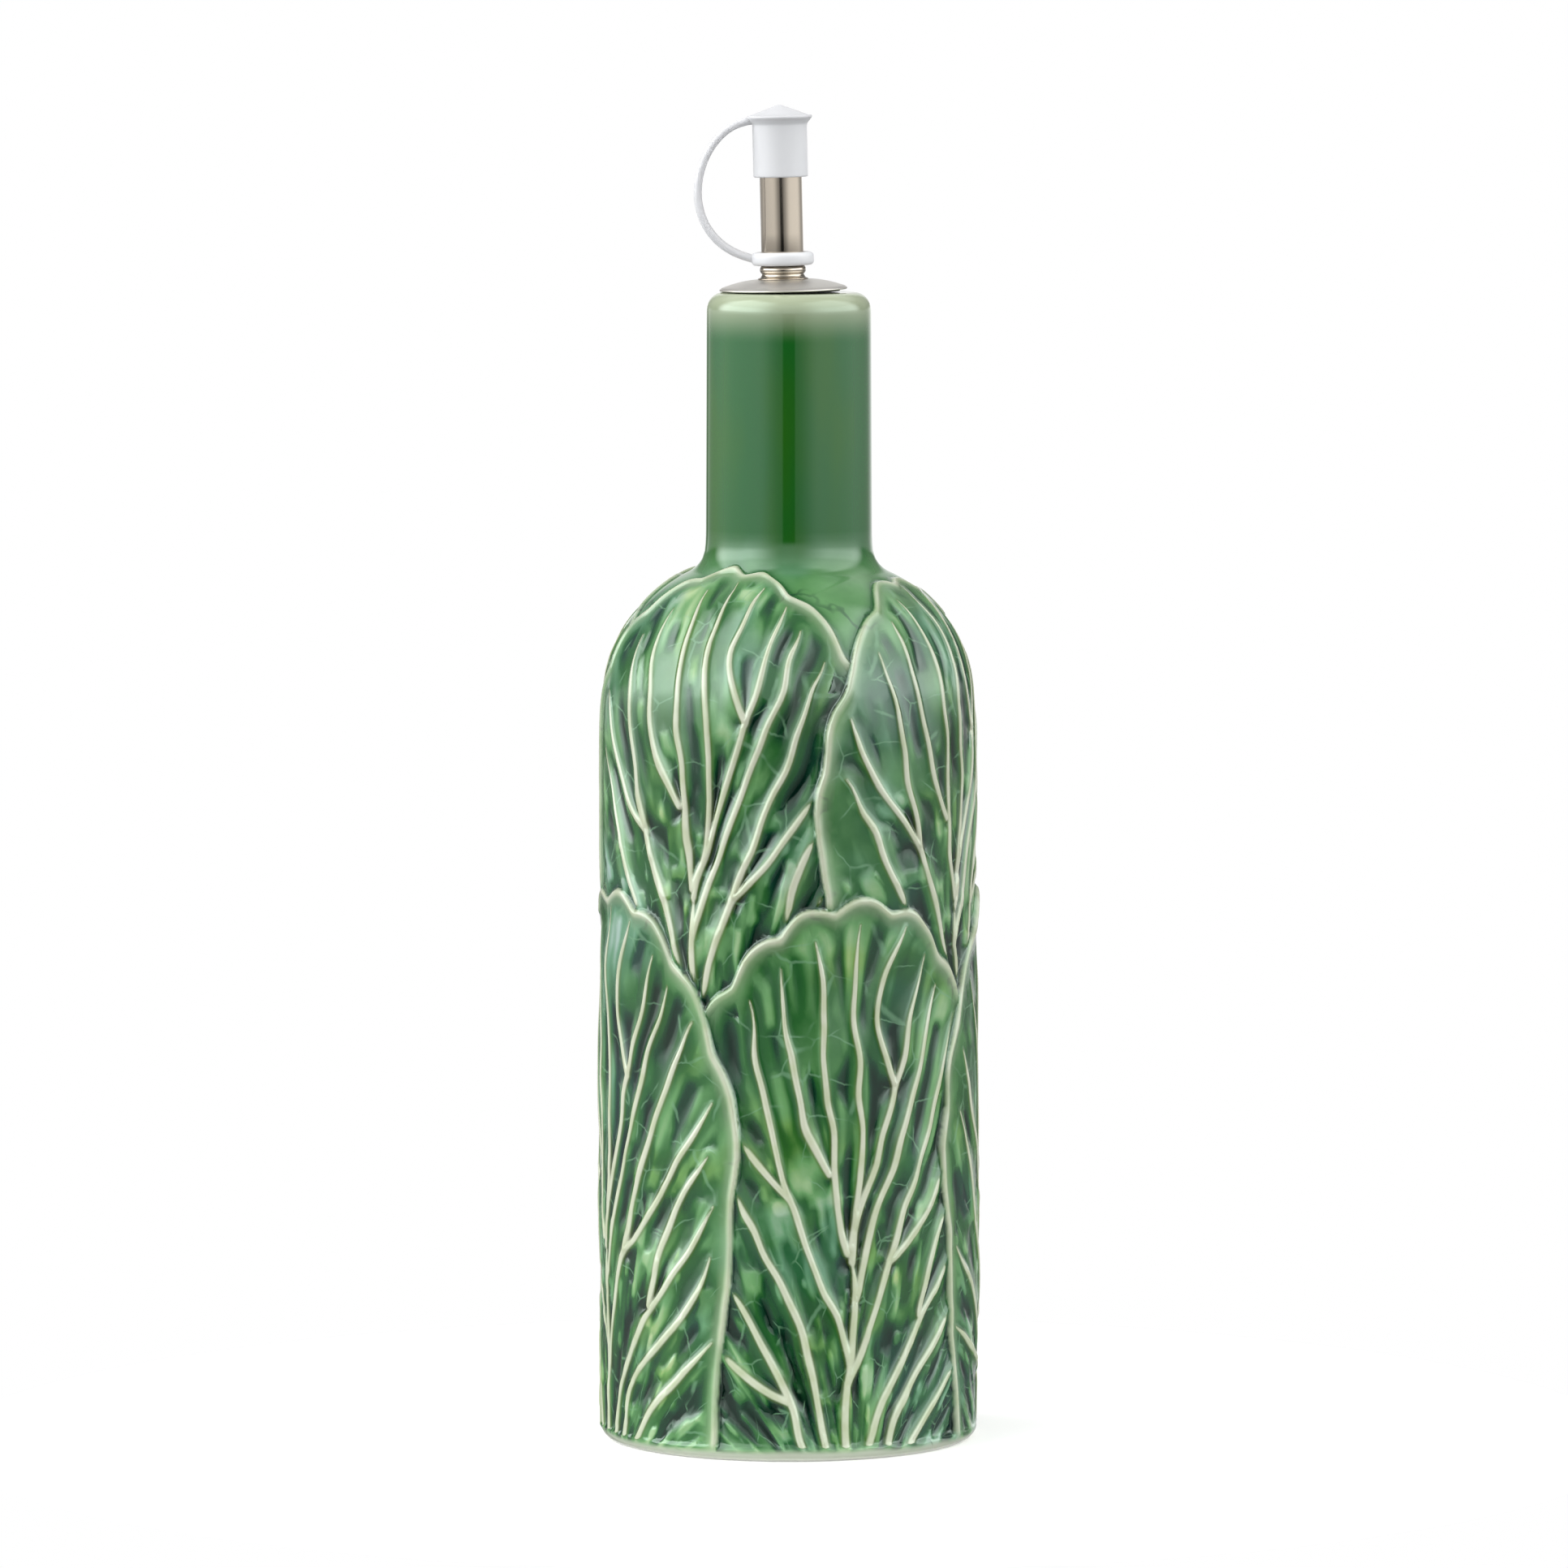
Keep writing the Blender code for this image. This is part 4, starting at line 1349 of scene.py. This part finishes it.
@dataclass
class TetherCap:
    """The plastic cap, moulded in one with its strap and the ring round the tube."""

    bore: float = 5.3
    radius: float = 6.45
    low: float = 299.3
    bore_top: float = 311.5
    brim_low: float = 312.0
    brim_radius: float = 7.7
    brim_high: float = 313.6
    tip: float = 316.3
    ring_radius: float = 7.4
    ring_low: float = 278.5
    ring_high: float = 281.6
    ring_edge: float = 1.0
    roof_fall: float = 0.37
    brim_edge: float = 0.4
    steps: int = 96
    strap_width: float = 3.0
    strap_thickness: float = 1.9
    strap_route: tuple = (
        (-5.9, 312.75),
        (-10.2, 312.5),
        (-15.2, 309.0),
        (-18.9, 302.4),
        (-20.1, 295.2),
        (-18.6, 288.6),
        (-14.6, 283.4),
        (-10.2, 281.0),
        (-6.4, 280.0),
    )

    def cap(self) -> bpy.types.Object:
        """Build the cap with its conical roof and brim.

        Returns:
            The cap.
        """
        line = [(0.0, self.tip), (0.35, self.tip), (0.6, self.tip - 0.1)]
        for r in np.linspace(2.0, self.brim_radius - 0.6, 5):
            line.append((r, self.tip - 0.1 - (r - 0.6) * self.roof_fall))
        line += arc(self.brim_radius - self.brim_edge, self.brim_high - 0.15, self.brim_edge, 70.0, -45.0, 7)
        line += [(self.radius + 0.25, self.brim_low + 0.05), (self.radius + 0.05, self.brim_low - 0.2)]
        line += [(self.radius, self.brim_low - 0.6), (self.radius, self.low + 0.6)]
        line += arc(self.radius - 0.35, self.low + 0.35, 0.35, 0.0, -90.0, 5)
        line += [(self.bore + 0.1, self.low), (self.bore, self.low + 0.1)]
        line += [(self.bore, self.bore_top), (0.0, self.bore_top)]
        return turned("cap_with_strap", line, self.steps)

    def ring(self) -> bpy.types.Object:
        """Build the ring with rounded edges.

        Returns:
            The ring.
        """
        edge = self.ring_edge
        outer = self.ring_radius - edge
        line = arc(outer, self.ring_high - edge, edge, 90.0, 0.0, 5)
        line += arc(outer, self.ring_low + edge, edge, 0.0, -90.0, 5)
        line += [(self.bore + 0.15, self.ring_low), (self.bore, self.ring_low + 0.15)]
        line += [(self.bore, self.ring_high - 0.15), (self.bore + 0.15, self.ring_high)]
        return turned("tether_ring", line, self.steps, closed=True)

    def strap(self) -> bpy.types.Object:
        """Sweep the strap's rounded band along its route.

        Returns:
            The strap as a closed mesh.
        """
        curve = bpy.data.curves.new("strap", "CURVE")
        curve.dimensions = "3D"
        curve.fill_mode = "FULL"
        curve.twist_mode = "Z_UP"
        curve.resolution_u = 10
        curve.bevel_depth = 0.5 * self.strap_thickness * MM
        curve.bevel_resolution = 5
        curve.extrude = 0.5 * (self.strap_width - self.strap_thickness) * MM
        curve.use_fill_caps = True
        spline = curve.splines.new("NURBS")
        spline.points.add(len(self.strap_route) - 1)
        for point, (x, z) in zip(spline.points, self.strap_route):
            point.co = (x * MM, z * MM, 0.0, 1.0)
        spline.order_u = 4
        spline.use_endpoint_u = True
        guide = bpy.data.objects.new("strap_guide", curve)
        bpy.context.scene.collection.objects.link(guide)
        graph = bpy.context.evaluated_depsgraph_get()
        mesh = bpy.data.meshes.new_from_object(guide.evaluated_get(graph))
        bpy.data.objects.remove(guide)
        shape = bmesh.new()
        shape.from_mesh(mesh)
        bmesh.ops.remove_doubles(shape, verts=shape.verts, dist=0.000005)
        bmesh.ops.rotate(shape, verts=shape.verts, matrix=Matrix.Rotation(math.radians(90.0), 3, "X"))
        bmesh.ops.recalc_face_normals(shape, faces=shape.faces)
        shape.to_mesh(mesh)
        shape.free()
        return add_object(mesh, "strap")

    def build(self, tilt: Matrix) -> bpy.types.Object:
        """Join the cap, strap and ring into one moulding.

        Args:
            tilt: The pourer's lean.

        Returns:
            The moulding.
        """
        piece = self.cap()
        parts = (self.strap(), self.ring())
        for part in parts:
            join = piece.modifiers.new("Join", "BOOLEAN")
            join.operation = "UNION"
            join.solver = "EXACT"
            join.object = part
        bpy.context.view_layer.update()
        graph = bpy.context.evaluated_depsgraph_get()
        mesh = bpy.data.meshes.new_from_object(piece.evaluated_get(graph))
        for item in (piece, *parts):
            bpy.data.objects.remove(item)
        mesh.transform(tilt)
        mesh.shade_smooth()
        mesh.set_sharp_from_angle(angle=math.radians(50.0))
        return add_object(mesh, "cap_with_strap")

    def dress(self, piece: bpy.types.Object) -> None:
        """Give the moulding its plastic and its place in the frame."""
        piece.data.materials.clear()
        piece.data.materials.append(MilkPlastic().material())
        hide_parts("tether_cap")
        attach(piece, "root")


@dataclass
class Surround:
    """The glow round the bottle: a pale table, a pale room and a soft box on each side.

    Spans of bearings are in degrees from the camera, and the other spans are
    the upward part of a direction, from -1 to 1.
    """

    table_glow: float = 1.15
    table_drop: Span = (-0.11, -0.03)
    table_far: float = 0.55
    left_share: float = 1.04
    slit: Span = (7.0, 10.0)
    near_rise: Span = (9.0, 45.0)
    near_gain: float = 0.67
    side_fall: Span = (95.0, 140.0)
    side_depth: float = 0.5
    back_rise: Span = (140.0, 165.0)
    back_glow: float = 0.7
    gap_start: Span = (150.0, 156.0)
    gap_end: Span = (163.0, 169.0)
    gap_depth: float = 0.8
    horizon: Span = (0.0, 0.07)
    top_glow: float = 0.9
    top_fall: Span = (0.6, 0.95)
    top_drop: float = 0.5
    dim_start: Span = (108.0, 125.0)
    dim_end: Span = (160.0, 172.0)
    dim_high: Span = (0.45, 0.7)
    dim_depth: float = 0.75
    left_box: float = 4.1
    right_box: float = 2.5
    box_low: Span = (-0.05, 0.16)
    box_middle: Span = (0.33, 0.52)
    box_fade: float = 0.3
    box_high: Span = (0.84, 0.97)
    box_near: Span = (10.0, 60.0)
    box_far: Span = (100.0, 125.0)

    def aim(self, world: bpy.types.World) -> None:
        """Start the world's nodes with the direction of each ray."""
        self.sheet = NodeSheet(world.node_tree)
        parts = self.sheet.add("SeparateXYZ")
        self.sheet.join(self.sheet.add("TexCoord").outputs["Generated"], parts.inputs[0])
        x, y, self.up = parts.outputs
        away = self.sheet.maths("MULTIPLY", y, -1.0)
        turn = self.sheet.maths("ARCTAN2", self.sheet.maths("ABSOLUTE", x), away)
        self.bearing = self.sheet.maths("DEGREES", turn)
        self.on_right = self.sheet.ease(x, -0.02, 0.02)

    def table(self) -> object:
        """Light below the horizon, with a dark slit where the camera stands and a gap at the back left.

        Returns:
            The strength's socket.
        """
        sheet, bearing = self.sheet, self.bearing
        rise = sheet.line(sheet.ease(bearing, *self.near_rise), self.near_gain, 1.0 - self.near_gain)
        near = sheet.product(sheet.ease(bearing, *self.slit), rise)
        side = sheet.product(near, sheet.fall(bearing, *self.side_fall, self.side_depth))
        back = sheet.maths("MULTIPLY", sheet.ease(bearing, *self.back_rise), self.back_glow)
        on_left = sheet.maths("SUBTRACT", 1.0, self.on_right)
        gap = sheet.product(sheet.ease(bearing, *self.gap_start), on_left, sheet.fall(bearing, *self.gap_end))
        share = sheet.line(self.on_right, 2.0 * (1.0 - self.left_share), self.left_share)
        level = sheet.maths("ADD", sheet.product(side, self.table_glow, share), back)
        drop = sheet.line(sheet.ease(self.up, *self.table_drop), self.table_far, 1.0 - self.table_far)
        return sheet.product(level, sheet.line(gap, -self.gap_depth, 1.0), drop)

    def room(self) -> object:
        """Light above the horizon, dimmed behind the sides.

        Returns:
            The strength's socket.
        """
        sheet = self.sheet
        dim = sheet.product(
            sheet.ease(self.bearing, *self.dim_start),
            sheet.fall(self.bearing, *self.dim_end),
            sheet.fall(self.up, *self.dim_high),
        )
        high = sheet.line(sheet.ease(self.up, *self.top_fall), -self.top_drop, self.top_glow)
        return sheet.product(sheet.line(dim, -self.dim_depth, 1.0), high)

    def boxes(self) -> object:
        """Light of the soft boxes on the two sides.

        Returns:
            The strength's socket.
        """
        sheet = self.sheet
        return sheet.product(
            sheet.line(self.on_right, self.right_box - self.left_box, self.left_box),
            sheet.ease(self.up, *self.box_low),
            sheet.fall(self.up, *self.box_middle, self.box_fade),
            sheet.fall(self.up, *self.box_high),
            sheet.ease(self.bearing, *self.box_near),
            sheet.fall(self.bearing, *self.box_far),
        )

    def build(self) -> None:
        """Make the world, which the camera itself sees as plain white."""
        world = bpy.data.worlds.new("surround")
        bpy.context.scene.world = world
        world.use_nodes = True
        self.aim(world)
        sheet = self.sheet
        above = sheet.ease(self.up, *self.horizon)
        low = sheet.product(self.table(), sheet.line(above, -1.0, 1.0))
        top = sheet.product(self.room(), above)
        glow, plain = sheet.add("Background"), sheet.add("Background")
        sheet.join(sheet.maths("ADD", sheet.maths("ADD", low, top), self.boxes()), glow.inputs["Strength"])
        for node in (glow, plain):
            sheet.join((1.0, 1.0, 1.0), node.inputs["Color"])
        choose = sheet.add("MixShader")
        sheet.join(sheet.add("LightPath").outputs["Is Camera Ray"], choose.inputs[0])
        sheet.join(glow.outputs[0], choose.inputs[1])
        sheet.join(plain.outputs[0], choose.inputs[2])
        sheet.join(choose.outputs[0], sheet.add("OutputWorld").inputs[0])


@dataclass
class Studio:
    """The table top, the light overhead and the camera, in metres, inside the surround."""

    distance: float = 2.5
    height: float = 0.378
    aim: float = 0.1556
    side: float = -0.00115
    lens: float = 243.2
    table: float = 0.2
    floor_glow: float = 0.12
    panel_place: Axes = (-0.05, -0.1, 1.1)
    panel_size: Span = (0.9, 0.5)
    panel_power: float = 1.8
    panel_aim: Axes = (0.0, 0.0, 0.16)

    def camera(self) -> None:
        """Set the camera at the photograph's viewpoint."""
        data = bpy.data.cameras.new("view")
        data.lens = self.lens
        data.sensor_width = 36.0
        data.clip_end = 100.0
        camera = bpy.data.objects.new("view", data)
        pitch = math.atan2(self.height - self.aim, self.distance)
        camera.location = (self.side, -self.distance, self.height)
        camera.rotation_euler = (math.radians(90.0) - pitch, 0.0, 0.0)
        bpy.context.scene.collection.objects.link(camera)
        bpy.context.scene.camera = camera

    def floor(self) -> None:
        """Lay a plain white round table top as the floor, glowing faintly as painted light."""
        shape = bmesh.new()
        bmesh.ops.create_circle(shape, cap_ends=True, segments=96, radius=self.table)
        mesh = bpy.data.meshes.new("floor")
        shape.to_mesh(mesh)
        shape.free()
        floor = add_object(mesh, "floor")
        sheet = MaterialSheet("white_sweep")
        colour = sheet.mix(sheet.noise(3.0), (0.93, 0.93, 0.93), (0.95, 0.95, 0.95))
        # Painted light: the floor glows faintly, washing out the bottle's shadow on it.
        sheet.set(Base_Color=colour, Roughness=0.9, Emission_Color=(1.0, 1.0, 1.0))
        sheet.set(Emission_Strength=self.floor_glow)
        mesh.materials.append(sheet.material)
        floor.visible_glossy = False

    def light(self) -> None:
        """Hang a soft panel of light overhead."""
        data = bpy.data.lights.new("overhead_panel", "AREA")
        data.shape = "RECTANGLE"
        data.size, data.size_y = self.panel_size
        data.energy = self.panel_power
        lamp = bpy.data.objects.new("overhead_panel", data)
        lamp.location = self.panel_place
        lamp.visible_glossy = False
        aim = Vector(self.panel_aim) - Vector(self.panel_place)
        lamp.rotation_euler = aim.to_track_quat("-Z", "Y").to_euler()
        bpy.context.scene.collection.objects.link(lamp)

    def set_up(self) -> None:
        """Set up the camera, floor, light and surround."""
        self.camera()
        self.floor()
        self.light()
        Surround().build()
        bpy.context.scene.view_settings.view_transform = "Standard"


def main() -> None:
    """Build the pieces in order and report each."""
    logging.basicConfig(level=logging.INFO, format="%(name)s: %(message)s")
    Studio().set_up()
    body = BottleBody()
    bottle = body.build()
    body.dress(bottle)
    pourer = Pourer()
    plate, tube, washer = pourer.plate(), pourer.tube(), pourer.washer()
    pourer.dress(plate, tube, washer)
    tether = TetherCap()
    cap = tether.build(pourer.tilt())
    tether.dress(cap)
    for piece in (bottle, plate, tube, washer, cap):
        faces = sum(len(face.vertices) - 2 for face in piece.data.polygons)
        LOG.info("%s has %d triangles", piece.name, faces)


if __name__ == "__main__":
    main()
